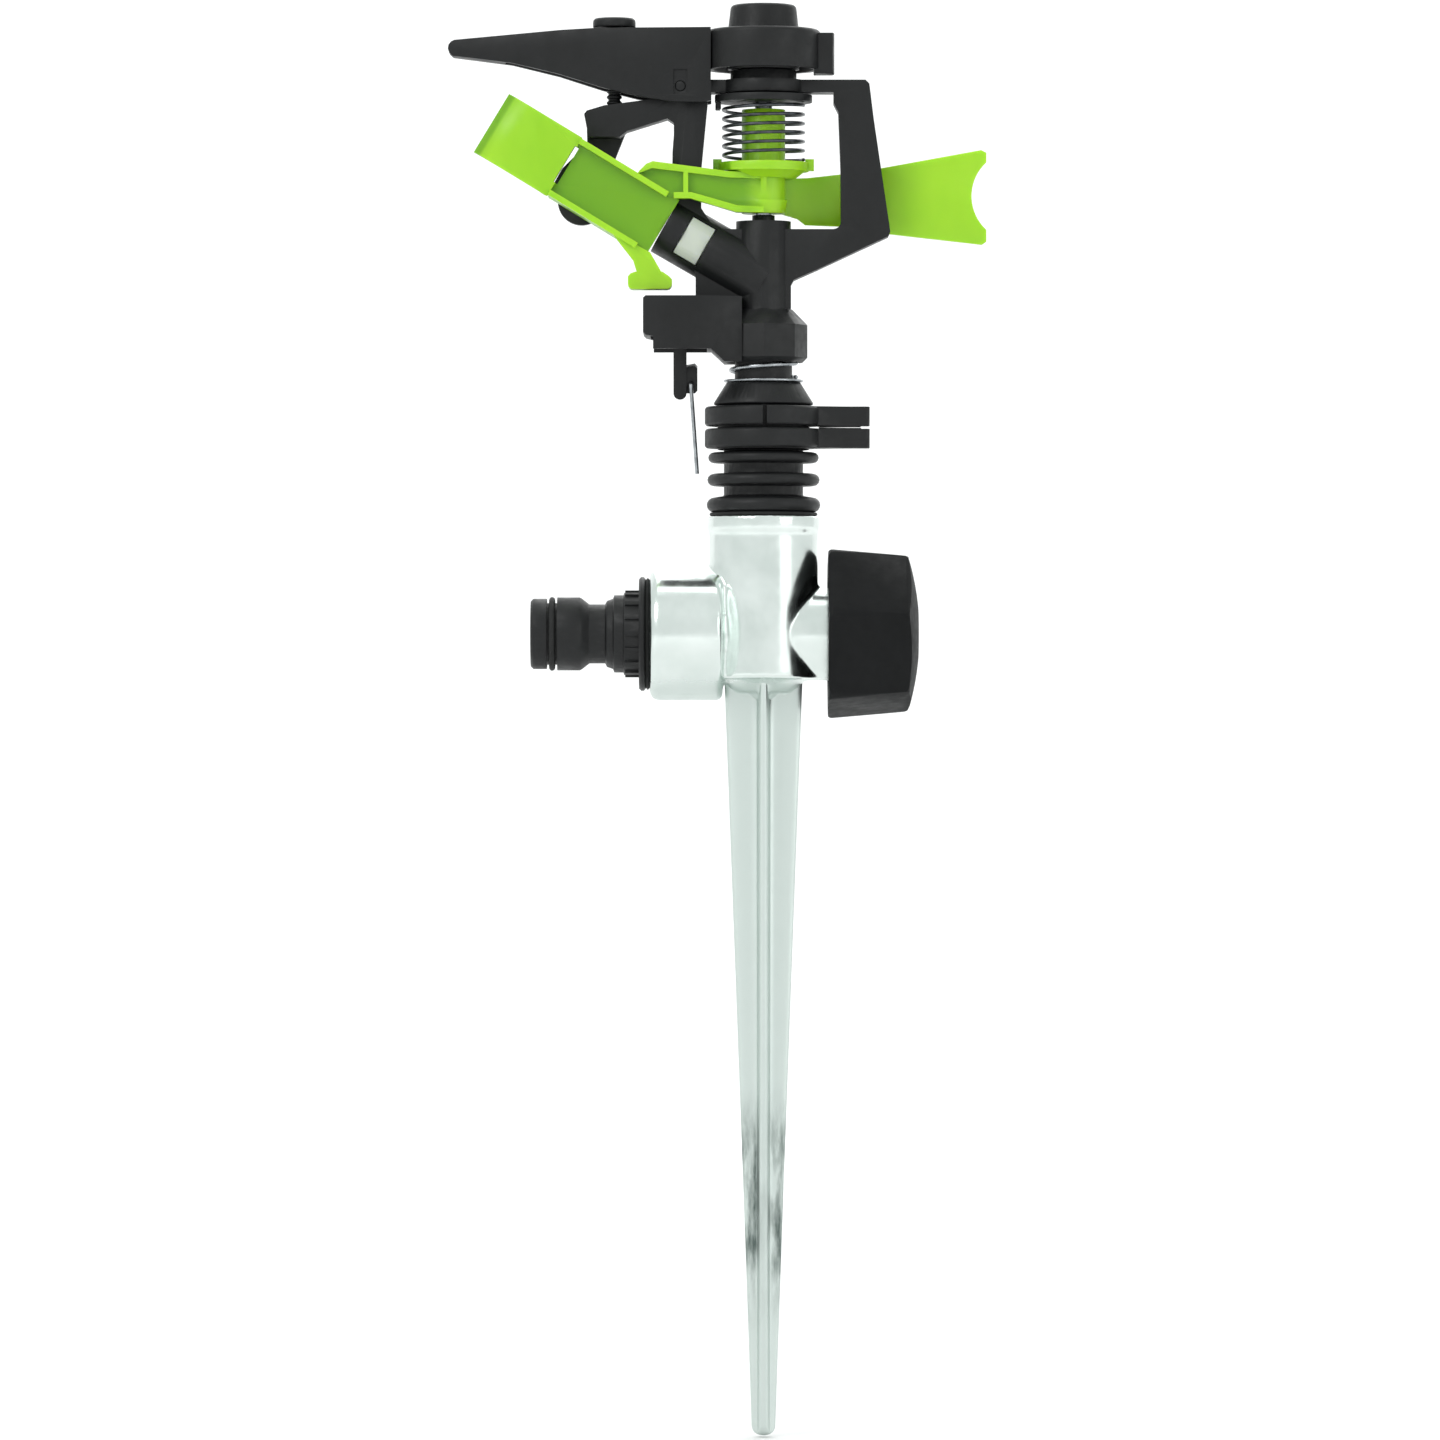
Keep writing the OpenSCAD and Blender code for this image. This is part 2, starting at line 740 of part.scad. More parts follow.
// Impact arm: hub, spring sleeve, channel on the left and tail on the right
module impact_arm() {
    color(green)
        difference() {
            union() {
                translate([0, 0, hub_z[0]])
                    cylinder(h = hub_z[1] - hub_z[0], r = hub_r);
                translate([0, 0, hub_z[0]])
                    cylinder(h = 3, r1 = hub_r, r2 = hub_r + 0.6);
                translate([0, 0, seat_z[0]])
                    cylinder(h = seat_z[1] - seat_z[0], r = 10.4);
                translate([0, 0, seat_z[0] - 1.6])
                    cylinder(h = 1.7, r1 = 7.4, r2 = 9.6);
                for (side = [0, 180])
                    rotate([0, 0, side])
                        translate([9.6, -1.4, seat_z[0] + 0.2])
                            cube([2, 2.8, 2.6]);
                translate([-0.7, 0, 0])
                    rotate([90, 0, 90])
                        linear_extrude(height = 1.4)
                            polygon([[-4.6, 112.2], [-4.6, seat_z[0] + 0.2],
                                [-8.4, seat_z[0] + 0.2]]);
                translate([0, 0, hub_z[1]])
                    cylinder(h = sleeve_top - hub_z[1], r = hub_r);
                bent_plate(-1, web_t)
                    arm_outline();
                bent_plate(-1, flange_t)
                    arm_flanges();
                bent_plate(1, web_t)
                    tail_outline();
                water_channel();
                foot_leg();
            }
            translate([0, 0, hub_z[0] - over])
                cylinder(h = 30, r = pin_r + run);
        }
}

// Torsion spring between the tension cap's anchor and the arm's seat
module arm_spring() {
    wire = spring_wire / 2;
    lead = 2.1;
    turns = 6;
    color(steel)
        coil(spring_r - wire, wire, seat_z[1] + 0.3 + wire, lead, turns, 20);
}

// Plate on the end of the cap's shaft that holds the spring's upper end
module spring_anchor() {
    color(black)
        union() {
            washer(cap_shaft_r + snug, 11.2, 133.5, 135.1);
            for (turn = [172, 192])
                rotate([0, 0, turn])
                    translate([10.1, -0.6, 131.8])
                        cube([1, 1.2, 1.8]);
        }
}

// Cap that is turned to set the arm spring's tension
module tension_cap() {
    grip_r = 7.6;
    color(black)
        difference() {
            union() {
                rotate_extrude()
                    polygon(concat([[pin_r + run, 133.5], [cap_shaft_r, 133.5], [cap_shaft_r, 141]],
                        [[cap_r, 141]], arc([cap_r - 1, 149.2], 1, 0, 90, 4),
                        [[grip_r + 0.5, 150.5]], arc([grip_r - 1, 154.9], 1, 0, 90, 4),
                        [[0, 155.9], [0, 145], [pin_r + run, 145]]));
                intersection() {
                    translate([0, 0, 140])
                        washer(cap_r - 1, 16.3, 0, 9.3);
                    translate([11, -3.6, 139])
                        cube([6, 7.2, 12]);
                }
            }
            translate([0, 0, 140.9])
                washer(8.2, cap_r - 1.6, 0, 6.5);
        }
}

// Side outline of the deflector flap
module flap_outline() {
    polygon(concat(
        [[-57.7, 142.3], [-71.3, 144]],
        arc([-70.6, 145.8], 1.9, 240, 100, 5),
        [[-46.5, 149.8], [-38.9, 150.2], [-12, 150.4], [-12, 133.6], [-13.8, 133.2], [-21, 133.3],
            [-29, 134.6], [-37.1, 136.6], [-46.9, 139.7]]));
}

// Inside of the flap, open underneath
module flap_hollow() {
    polygon([[-60, 141], [-58, 146.2], [-46, 147.8], [-38, 148.4], [-10, 148.4], [-10, 130],
        [-30, 130]]);
}

// Wedge that is pressed down into the jet to shorten the throw
module deflector_flap() {
    color(black)
        difference() {
            intersection() {
                side_plate(-flap_half_w, flap_half_w)
                    flap_outline();
                translate([0, 0, 130])
                    linear_extrude(height = 24)
                        polygon([[-74, -3.4], [-74, 3.4], [-30, flap_half_w], [-10, flap_half_w],
                            [-10, -flap_half_w], [-30, -flap_half_w]]);
            }
            intersection() {
                side_plate(-half_frame - 0.4, half_frame + 0.4)
                    flap_hollow();
                translate([0, 0, 128])
                    linear_extrude(height = 24)
                        polygon([[-74, -1.6], [-74, 1.6], [-30, half_frame + 0.4],
                            [-8, half_frame + 0.4], [-8, -half_frame - 0.4],
                            [-30, -half_frame - 0.4]]);
            }
            translate([0, 0, 138])
                cylinder(h = 16, r = cap_r + 0.5);
            translate([screw_x - 2.3, -2.3, 146])
                cube([7.4, 4.6, 6]);
            rod_y(hinge_at, hinge_r + run, -8, 8);
            translate([hinge_at.x - 1.6, -flap_half_w - 1, hinge_at.y - 1.8])
                cube([3.2, 1.5, 5.6]);
        }
}

module deflector_pin() {
    color(black)
        rod_y(hinge_at, hinge_r, -flap_half_w + 0.5, flap_half_w - 0.3);
}

// Thumb screw: threads into the bracket and presses the flap down with its head
module deflector_screw() {
    pitch = 1.3;
    threads = 8;
    color(black)
        difference() {
            translate([screw_x, 0, 0])
                rotate_extrude()
                    polygon(concat(
                        [[0, 128.6], [1.2, 128.6]],
                        [for (i = [0 : threads - 1]) each [[1.35, 129 + i * pitch],
                            [screw_r, 129.3 + i * pitch], [screw_r, 129.7 + i * pitch],
                            [1.35, 130 + i * pitch]]],
                        [[1.6, 140], [1.6, 150.75], [4.9, 150.75], [4.9, 152.3], [4.4, 152.8],
                            [0, 152.8]]));
            translate([screw_x, 0, 152.8])
                cube([12, 1.2, 1.6], center = true);
        }
}

// Turns the hanging trip gear about its pin into the state that it rests in
module leaned() {
    translate([0, 0, trip_z])
        rotate([trip_lean, 0, 0])
            translate([0, 0, -trip_z])
                children();
}

// Lever that hangs below the housing and carries the trip wire
module trip_lever() {
    lever_mid = (lever_x[0] + lever_x[1]) / 2;
    color(black)
        leaned()
            difference() {
                union() {
                    side_plate(-2.2, 2.2)
                        union() {
                            polygon([[lever_x[0], 84.6], [lever_x[1], 84.6], [lever_x[1], 66.8],
                                [lever_x[0], 66.8]]);
                            translate([lever_mid, 66.8])
                                circle(1.5);
                        }
                    side_plate(-1.8, 1.8)
                        polygon([[lever_x[1] - 1, 72.6], [-15.8, 73.1], [-15.2, 72.5],
                            [-15.2, 67.3], [-15.8, 66.7], [lever_x[1] - 1, 66.7]]);
                }
                translate([-22, 0, trip_z])
                    rotate([0, 90, 0])
                        cylinder(h = 6, r = trip_pin_r + run);
                rod_y(wire_at, wire_r + run, -3, 3);
            }
}

module trip_pin() {
    color(steel)
        translate([-27.3, 0, trip_z])
            rotate([0, 90, 0])
                cylinder(h = 15.4, r = trip_pin_r);
}

// Bent steel wire that meets the stop rings' tabs and flips the lever
module trip_wire() {
    fall = 20.8;
    color(steel)
        leaned()
            translate([wire_at.x, 0, wire_at.y])
                union() {
                    translate([0, 2.6, 0])
                        rotate([90, 0, 0])
                            cylinder(h = 5.4, r = wire_r);
                    translate([0, -2.8, 0])
                        sphere(r = wire_r);
                    translate([0, -2.8, 0])
                        rotate([0, 180 - 4, 0])
                            cylinder(h = fall, r = wire_r);
                }
}

// Lever that rises through the housing's roof to catch the arm's foot
module reverse_lever() {
    color(black)
        difference() {
            translate([reverse_x[0], 0, 0])
                rotate([90, 0, 90])
                    linear_extrude(height = reverse_x[1] - reverse_x[0])
                        union() {
                            polygon([[-11, 82.6], [-9.6, 82], [5.5, 82.4], [5.5, 86.4], [0, 85.2],
                                [-9.7, 84.6], [-9.7, 88.3], [-11, 88.3]]);
                            translate(reverse_at)
                                circle(1.95);
                        }
            translate([-28, reverse_at[0], reverse_at[1]])
                rotate([0, 90, 0])
                    cylinder(h = 16, r = reverse_pin_r + run);
            translate([-28, 0, trip_z])
                rotate([0, 90, 0])
                    cylinder(h = 16, r = 2.4);
        }
}

module reverse_pin() {
    color(steel)
        translate([-27.3, reverse_at[0], reverse_at[1]])
            rotate([0, 90, 0])
                cylinder(h = 15.4, r = reverse_pin_r);
}

// Over-centre spring that snaps the trip gear between its two states
module trip_spring() {
    color(steel)
        translate([-15.2, -4.6, 0])
            coil(1.2, 0.25, 78.4, 0.9, 8, 12, 5);
}

spike_body();
hose_nipple();
nipple_o_ring();
nipple_gasket();
valve_plug();
stem_o_ring();
valve_bonnet();
flow_knob();
knob_screw();
bearing_nut();
bearing_gasket();
wear_washers();
seal_washer();
spring_washer();
bearing_spring();
stop_ring_lower();
stop_ring_upper();
swivel_tube();
head_body();
nozzle_insert();
stream_straightener();
arm_pin();
impact_arm();
arm_spring();
spring_anchor();
tension_cap();
deflector_flap();
deflector_pin();
deflector_screw();
trip_lever();
trip_pin();
trip_wire();
reverse_lever();
reverse_pin();
trip_spring();
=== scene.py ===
"""Looks of an impact sprinkler on a ground spike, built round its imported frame.

Lengths are in metres, and sizes stated in millimetres are multiplied by MM. Each
sub-assembly is a class that builds its meshes and dresses them in a finish.
"""

import json
import logging
import math
from dataclasses import dataclass
from enum import StrEnum
from typing import Optional, Sequence

import bmesh
import bpy
import numpy as np
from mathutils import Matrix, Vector

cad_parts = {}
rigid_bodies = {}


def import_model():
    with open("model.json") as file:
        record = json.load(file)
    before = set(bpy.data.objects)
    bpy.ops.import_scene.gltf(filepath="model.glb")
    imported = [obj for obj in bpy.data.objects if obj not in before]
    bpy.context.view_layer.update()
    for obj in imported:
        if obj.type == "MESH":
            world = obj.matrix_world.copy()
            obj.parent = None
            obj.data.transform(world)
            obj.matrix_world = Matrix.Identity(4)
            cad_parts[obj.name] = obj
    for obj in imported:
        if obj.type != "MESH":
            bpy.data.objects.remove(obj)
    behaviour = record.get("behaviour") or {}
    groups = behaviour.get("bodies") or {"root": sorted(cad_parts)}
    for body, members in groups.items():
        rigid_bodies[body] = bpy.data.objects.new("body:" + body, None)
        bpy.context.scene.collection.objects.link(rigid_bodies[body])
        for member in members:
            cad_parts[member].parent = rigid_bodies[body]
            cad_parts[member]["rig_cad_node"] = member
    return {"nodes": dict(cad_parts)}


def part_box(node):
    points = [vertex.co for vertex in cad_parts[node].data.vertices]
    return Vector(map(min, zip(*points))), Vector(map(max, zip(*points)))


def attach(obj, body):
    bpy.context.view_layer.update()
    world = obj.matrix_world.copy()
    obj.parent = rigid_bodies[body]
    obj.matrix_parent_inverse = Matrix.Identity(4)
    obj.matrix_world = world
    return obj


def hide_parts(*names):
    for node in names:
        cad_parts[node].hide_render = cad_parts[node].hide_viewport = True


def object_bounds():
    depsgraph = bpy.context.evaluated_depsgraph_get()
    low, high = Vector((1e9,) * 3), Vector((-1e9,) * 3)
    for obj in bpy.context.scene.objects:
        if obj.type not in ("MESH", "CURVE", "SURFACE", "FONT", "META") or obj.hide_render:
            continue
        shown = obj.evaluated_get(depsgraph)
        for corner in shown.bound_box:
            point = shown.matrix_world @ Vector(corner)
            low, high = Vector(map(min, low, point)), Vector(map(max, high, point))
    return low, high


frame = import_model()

MM = 0.001
TURN = 2 * math.pi
COLOUR_A, COLOUR_B, COLOUR_OUT = 6, 7, 2  # a Mix node's colour sockets, by number
CAD_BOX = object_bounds()
NOISE_LOW, NOISE_HIGH = 0.32, 0.68  # a noise spends nearly all its time in between
DOUBLE = 2e-6  # points of the CAD mesh that are nearer than this are one point
FLAT_ANGLE = 0.6  # degrees; CAD faces that meet at less are joined
EDGE_ANGLE = 35.0  # degrees; edges that turn less than this are not rounded
WIRE_SLANT = (0.03, 0.02, 1.0)  # a line that no spring's wire runs along
log = logging.getLogger("sprinkler")


class Body(StrEnum):
    """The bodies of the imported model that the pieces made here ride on."""

    BASE = "base"
    VALVE = "valve"
    RING_LOWER = "ring_lower"
    RING_UPPER = "ring_upper"
    HEAD = "head"
    ARM = "arm"
    CAP = "cap"
    FLAP = "flap"
    SCREW = "screw"
    TRIP = "trip"
    REVERSE = "reverse"


# ---------------------------------------------------------------- colours and nodes


def linear(code: str) -> tuple[float, float, float, float]:
    """Turns an sRGB hex colour to linear light.

    Args:
        code: the colour as six hex digits with a leading hash.

    Returns:
        Red, green, blue and an alpha of one, in linear light.
    """
    parts = [int(code[i : i + 2], 16) / 255 for i in (1, 3, 5)]
    light = [c / 12.92 if c <= 0.04045 else ((c + 0.055) / 1.055) ** 2.4 for c in parts]
    return (light[0], light[1], light[2], 1.0)


def add(
    tree: bpy.types.NodeTree,
    kind: str,
    values: Optional[dict] = None,
    links: Optional[dict] = None,
    **settings: object,
) -> bpy.types.Node:
    """Adds a node with its settings, its socket values and its incoming links.

    Args:
        tree: the tree that gets the node.
        kind: the node's type name.
        values: input socket, by name or number, to its constant.
        links: input socket, by name or number, to the output socket that feeds it.
        settings: the node's own attributes, such as an operation.

    Returns:
        The new node.
    """
    node = tree.nodes.new(kind)
    for name, value in settings.items():
        setattr(node, name, value)
    for socket, value in (values or {}).items():
        node.inputs[socket].default_value = value
    for socket, source in (links or {}).items():
        tree.links.new(source, node.inputs[socket])
    return node


def grain(
    tree: bpy.types.NodeTree,
    size: float,
    detail: float = 3.0,
    stretch: tuple[float, float, float] = (1, 1, 1),
) -> bpy.types.NodeSocket:
    """Adds a noise whose blotches have a real size.

    Args:
        tree: the material's tree.
        size: the width of one blotch, in metres.
        detail: how many finer layers the noise has.
        stretch: how much finer the noise runs along each axis.

    Returns:
        The noise's factor socket, from about 0.3 to 0.7.
    """
    place = add(tree, "ShaderNodeTexCoord")
    turn = add(
        tree, "ShaderNodeMapping", {"Scale": stretch}, {"Vector": place.outputs["Object"]}
    )
    noise = add(
        tree,
        "ShaderNodeTexNoise",
        {"Scale": 1 / size, "Detail": detail, "Roughness": 0.55},
        {"Vector": turn.outputs["Vector"]},
    )
    return noise.outputs["Fac"]


def patchy(
    tree: bpy.types.NodeTree,
    size: float,
    low: float,
    high: float,
    detail: float = 3.0,
    stretch: tuple[float, float, float] = (1, 1, 1),
) -> bpy.types.NodeSocket:
    """Lets a number wander over a surface in patches.

    The middle of a noise, where it spends nearly all its time, is mapped evenly
    onto the range from low to high.

    Args:
        tree: the material's tree.
        size: the width of one patch, in metres.
        low: the number at the noise's dark end.
        high: the number at its light end.
        detail: how many finer layers the noise has.
        stretch: how much finer the noise runs along each axis.

    Returns:
        The number's socket.
    """
    mapped = add(
        tree,
        "ShaderNodeMapRange",
        {"From Min": NOISE_LOW, "From Max": NOISE_HIGH, "To Min": low, "To Max": high},
        {"Value": grain(tree, size, detail, stretch)},
    )
    return mapped.outputs["Result"]


def mottled(
    tree: bpy.types.NodeTree,
    size: float,
    first: str,
    second: str,
    detail: float = 3.0,
    stretch: tuple[float, float, float] = (1, 1, 1),
) -> bpy.types.NodeSocket:
    """Lets a colour wander between two colours in patches.

    Args:
        tree: the material's tree.
        size: the width of one patch, in metres.
        first: the hex colour at the noise's dark end.
        second: the hex colour at its light end.
        detail: how many finer layers the noise has.
        stretch: how much finer the noise runs along each axis.

    Returns:
        The colour's socket.
    """
    mix = add(
        tree,
        "ShaderNodeMix",
        {COLOUR_A: linear(first), COLOUR_B: linear(second)},
        {"Factor": patchy(tree, size, 0, 1, detail, stretch)},
        data_type="RGBA",
    )
    return mix.outputs[COLOUR_OUT]


def uneven(
    tree: bpy.types.NodeTree,
    size: float,
    depth: float,
    share: float,
    detail: float = 2.0,
    under: Optional[bpy.types.NodeSocket] = None,
) -> bpy.types.NodeSocket:
    """Makes a surface uneven, with bumps of a real width and depth.

    Args:
        tree: the material's tree.
        size: the width of one bump, in metres.
        depth: the height of a full step, in metres.
        share: the share of the depth that is used.
        detail: how many finer layers the bumps have.
        under: the normal of an unevenness below this one.

    Returns:
        The bent normal's socket.
    """
    links = {"Height": grain(tree, size, detail)}
    if under is not None:
        links["Normal"] = under
    bump = add(tree, "ShaderNodeBump", {"Distance": depth, "Strength": share}, links)
    return bump.outputs["Normal"]


# ---------------------------------------------------------------- finishes


@dataclass(frozen=True)
class Finish:
    """A material and the record's slot that it stands for."""

    name: str
    slot: str

    def material(self) -> bpy.types.Material:
        """Returns this finish's material, made on the first call."""
        found = bpy.data.materials.get(self.name)
        if found is not None:
            return found
        made = bpy.data.materials.new(self.name)
        made.use_nodes = True
        made.node_tree.nodes.clear()
        shader = self.shade(made.node_tree)
        add(
            made.node_tree,
            "ShaderNodeOutputMaterial",
            links={"Surface": shader.outputs["BSDF"]},
        )
        return made

    def shade(self, tree: bpy.types.NodeTree) -> bpy.types.Node:
        """Builds the shader in a tree and returns it."""
        raise NotImplementedError

    def dress(self, piece: bpy.types.Object) -> None:
        """Puts the finish on a piece.

        Args:
            piece: the object to dress.
        """
        piece.data.materials.clear()
        piece.data.materials.append(self.material())


@dataclass(frozen=True)
class PlatedZinc(Finish):
    """Zinc die casting, tumbled and chrome plated: a bright, faintly green mirror
    whose skin is slightly uneven. Its spike was polished less, so it shines more
    softly, and a band of it is streaked where soil has rubbed it."""

    bright: str = "#E6EDEA"
    shaded: str = "#D8E1DD"
    buried: str = "#D0D9D5"
    soil: str = "#5C6864"
    tone: float = 11 * MM
    haze: float = 5 * MM
    haze_low: float = 0.15
    haze_high: float = 0.26
    ground: float = 2 * MM  # half the height over which the plate turns duller
    buried_haze: float = 0.2
    rub_middle: float = -121 * MM
    rub_half: float = 30 * MM
    rub_full: float = 0.4  # share of the band that is rubbed in full
    clean_x: float = 0.6 * MM
    worn_x: float = 2.2 * MM
    clean_share: float = 0.2
    streak: float = 4.2 * MM
    streak_low: float = -0.35
    streak_high: float = 1.15
    streak_stretch: tuple[float, float, float] = (1.6, 1.6, 0.3)
    skin: float = 5 * MM
    skin_depth: float = 0.05 * MM
    skin_share: float = 0.25
    fine: float = 0.8 * MM
    fine_depth: float = 0.006 * MM
    fine_share: float = 0.35

    def rubbed(self, tree: bpy.types.NodeTree, apart: bpy.types.Node) -> bpy.types.NodeSocket:
        """Builds the share of soil: streaks in a band, strongest on the flanks.

        Args:
            tree: the material's tree.
            apart: the node that gives the place's X and Z.

        Returns:
            The share's socket, from 0 to 1.
        """
        offset = add(
            tree,
            "ShaderNodeMath",
            {1: self.rub_middle},
            {0: apart.outputs["Z"]},
            operation="SUBTRACT",
        )
        apart_by = add(
            tree, "ShaderNodeMath", links={0: offset.outputs["Value"]}, operation="ABSOLUTE"
        )
        band = add(
            tree,
            "ShaderNodeMapRange",
            {"From Min": self.rub_half, "From Max": self.rub_full * self.rub_half},
            {"Value": apart_by.outputs["Value"]},
            interpolation_type="SMOOTHSTEP",
        )
        across = add(
            tree, "ShaderNodeMath", links={0: apart.outputs["X"]}, operation="ABSOLUTE"
        )
        flank = add(
            tree,
            "ShaderNodeMapRange",
            {
                "From Min": self.clean_x,
                "From Max": self.worn_x,
                "To Min": self.clean_share,
            },
            {"Value": across.outputs["Value"]},
            interpolation_type="SMOOTHSTEP",
        )
        worn = add(
            tree,
            "ShaderNodeMath",
            links={0: band.outputs["Result"], 1: flank.outputs["Result"]},
            operation="MULTIPLY",
        )
        streaks = patchy(
            tree, self.streak, self.streak_low, self.streak_high, 6, self.streak_stretch
        )
        share = add(
            tree,
            "ShaderNodeMath",
            links={0: worn.outputs["Value"], 1: streaks},
            operation="MULTIPLY",
            use_clamp=True,
        )
        return share.outputs["Value"]

    def shade(self, tree: bpy.types.NodeTree) -> bpy.types.Node:
        """Builds plate with a cast skin, a duller spike and a rubbed band on it."""
        place = add(tree, "ShaderNodeTexCoord")
        apart = add(
            tree, "ShaderNodeSeparateXYZ", links={"Vector": place.outputs["Object"]}
        )
        below = add(
            tree,
            "ShaderNodeMapRange",
            {"From Min": self.ground, "From Max": -self.ground},
            {"Value": apart.outputs["Z"]},
            interpolation_type="SMOOTHSTEP",
        )
        dulled = add(
            tree,
            "ShaderNodeMix",
            {COLOUR_B: linear(self.buried)},
            {
                "Factor": below.outputs["Result"],
                COLOUR_A: mottled(tree, self.tone, self.shaded, self.bright),
            },
            data_type="RGBA",
        )
        colour = add(
            tree,
            "ShaderNodeMix",
            {COLOUR_B: linear(self.soil)},
            {"Factor": self.rubbed(tree, apart), COLOUR_A: dulled.outputs[COLOUR_OUT]},
            data_type="RGBA",
        )
        rough = add(
            tree,
            "ShaderNodeMath",
            {1: self.buried_haze},
            {
                0: below.outputs["Result"],
                2: patchy(tree, self.haze, self.haze_low, self.haze_high, 4),
            },
            operation="MULTIPLY_ADD",
        )
        skin = uneven(tree, self.skin, self.skin_depth, self.skin_share)
        fine = uneven(tree, self.fine, self.fine_depth, self.fine_share, under=skin)
        return add(
            tree,
            "ShaderNodeBsdfPrincipled",
            {"Metallic": 1.0},
            {
                "Base Color": colour.outputs[COLOUR_OUT],
                "Roughness": rough.outputs["Value"],
                "Normal": fine,
            },
        )


@dataclass(frozen=True)
class Moulding(Finish):
    """Injection-moulded plastic: an even colour with faint flow marks, and a fine
    spark-eroded grain from the mould that softens its shine."""

    dark: str = "#0E0F10"
    light: str = "#151617"
    rough_low: float = 0.40
    rough_high: float = 0.56
    sheen: float = 0.34
    flow: float = 9 * MM
    gloss_patch: float = 2.5 * MM
    sink: float = 6 * MM
    sink_depth: float = 0.05 * MM
    wave: float = 0.3
    grit: float = 0.45 * MM  # drawn about twice as coarse as a real mould grain
    grit_depth: float = 0.02 * MM
    grit_share: float = 0.6
    index: float = 1.49
    under_skin: float = 0.0
    under_depth: float = 1.8 * MM
    under_reach: tuple[float, float, float] = (1.0, 1.3, 0.3)

    def colour(self, tree: bpy.types.NodeTree) -> bpy.types.NodeSocket:
        """Builds the colour with its flow marks."""
        return mottled(tree, self.flow, self.dark, self.light, 3, (1, 1, 0.5))

    def shade(self, tree: bpy.types.NodeTree) -> bpy.types.Node:
        """Builds grained plastic."""
        colour = self.colour(tree)
        rough = patchy(tree, self.gloss_patch, self.rough_low, self.rough_high, 4)
        wave = uneven(tree, self.sink, self.sink_depth, self.wave, 1)
        grit = uneven(tree, self.grit, self.grit_depth, self.grit_share, under=wave)
        shader = add(
            tree,
            "ShaderNodeBsdfPrincipled",
            {"IOR": self.index, "Specular IOR Level": self.sheen},
            {"Base Color": colour, "Roughness": rough, "Normal": grit},
        )
        if self.under_skin > 0:
            shader.inputs["Subsurface Weight"].default_value = self.under_skin
            shader.inputs["Subsurface Radius"].default_value = self.under_reach
            shader.inputs["Subsurface Scale"].default_value = self.under_depth
        return shader


@dataclass(frozen=True)
class ClearMoulding(Moulding):
    """Tinted see-through plastic, moulded thin. Its floors that are set back between
    its walls, towards its left end, carry painted shade: a darker tint laid where shade falls."""

    # painted shade: the darker tint laid on set-back floors
    painted_recess_shade: str = "#649C06"
    floor_y: float = -6.5 * MM
    wall_y: float = -7.6 * MM
    reach_x: float = -5 * MM
    # the strongest share of painted shade, reached at the left end
    most_recess_shade: float = 0.85

    def colour(self, tree: bpy.types.NodeTree) -> bpy.types.NodeSocket:
        """Builds the tint, with painted shade on the floors behind the front walls."""
        place = add(tree, "ShaderNodeTexCoord")
        apart = add(
            tree, "ShaderNodeSeparateXYZ", links={"Vector": place.outputs["Object"]}
        )
        # painted shade: set-back floors, more towards the left, get the darker tint
        back = add(
            tree,
            "ShaderNodeMapRange",
            {"From Min": self.wall_y, "From Max": self.floor_y},
            {"Value": apart.outputs["Y"]},
            interpolation_type="SMOOTHSTEP",
        )
        left = add(
            tree,
            "ShaderNodeMapRange",
            {"From Min": 0.0, "From Max": self.reach_x, "To Max": self.most_recess_shade},
            {"Value": apart.outputs["X"]},
            interpolation_type="SMOOTHSTEP",
        )
        share = add(
            tree,
            "ShaderNodeMath",
            links={0: back.outputs["Result"], 1: left.outputs["Result"]},
            operation="MULTIPLY",
        )
        mix = add(
            tree,
            "ShaderNodeMix",
            {COLOUR_B: linear(self.painted_recess_shade)},
            {"Factor": share.outputs["Value"], COLOUR_A: super().colour(tree)},
            data_type="RGBA",
        )
        return mix.outputs[COLOUR_OUT]


@dataclass(frozen=True)
class SealRubber(Finish):
    """Moulded nitrile rubber: nearly black, dull, with a dusty bloom."""

    dark: str = "#101111"
    bloom: str = "#1C1D1D"
    rough_low: float = 0.62
    rough_high: float = 0.8
    dust: float = 3 * MM
    gloss_patch: float = 1.5 * MM
    skin: float = 0.5 * MM
    skin_depth: float = 0.015 * MM
    skin_share: float = 0.6
    index: float = 1.52
    sheen: float = 0.35

    def shade(self, tree: bpy.types.NodeTree) -> bpy.types.Node:
        """Builds dull rubber."""
        colour = mottled(tree, self.dust, self.dark, self.bloom, 5)
        rough = patchy(tree, self.gloss_patch, self.rough_low, self.rough_high)
        skin = uneven(tree, self.skin, self.skin_depth, self.skin_share)
        return add(
            tree,
            "ShaderNodeBsdfPrincipled",
            {"IOR": self.index, "Specular IOR Level": self.sheen},
            {"Base Color": colour, "Roughness": rough, "Normal": skin},
        )


@dataclass(frozen=True)
class DrawnMetal(Finish):
    """Drawn or turned metal: fine lines left by the die or the tool give it a
    streaked shine."""

    light: str = "#B4B8BB"
    dark: str = "#85898D"
    rough_low: float = 0.22
    rough_high: float = 0.40
    tone: float = 2 * MM
    gloss_patch: float = 1.2 * MM
    line: float = 0.35 * MM
    line_depth: float = 0.012 * MM
    line_share: float = 0.5

    def shade(self, tree: bpy.types.NodeTree) -> bpy.types.Node:
        """Builds streaked metal."""
        colour = mottled(tree, self.tone, self.dark, self.light, 4)
        rough = patchy(tree, self.gloss_patch, self.rough_low, self.rough_high, 4)
        lines = uneven(tree, self.line, self.line_depth, self.line_share, 3)
        return add(
            tree,
            "ShaderNodeBsdfPrincipled",
            {"Metallic": 1.0},
            {"Base Color": colour, "Roughness": rough, "Normal": lines},
        )


# Chrome on a zinc casting: reflects the whole room, a little green and a little wavy
PLATED = PlatedZinc("chrome_plated_zinc", "chrome_zinc")
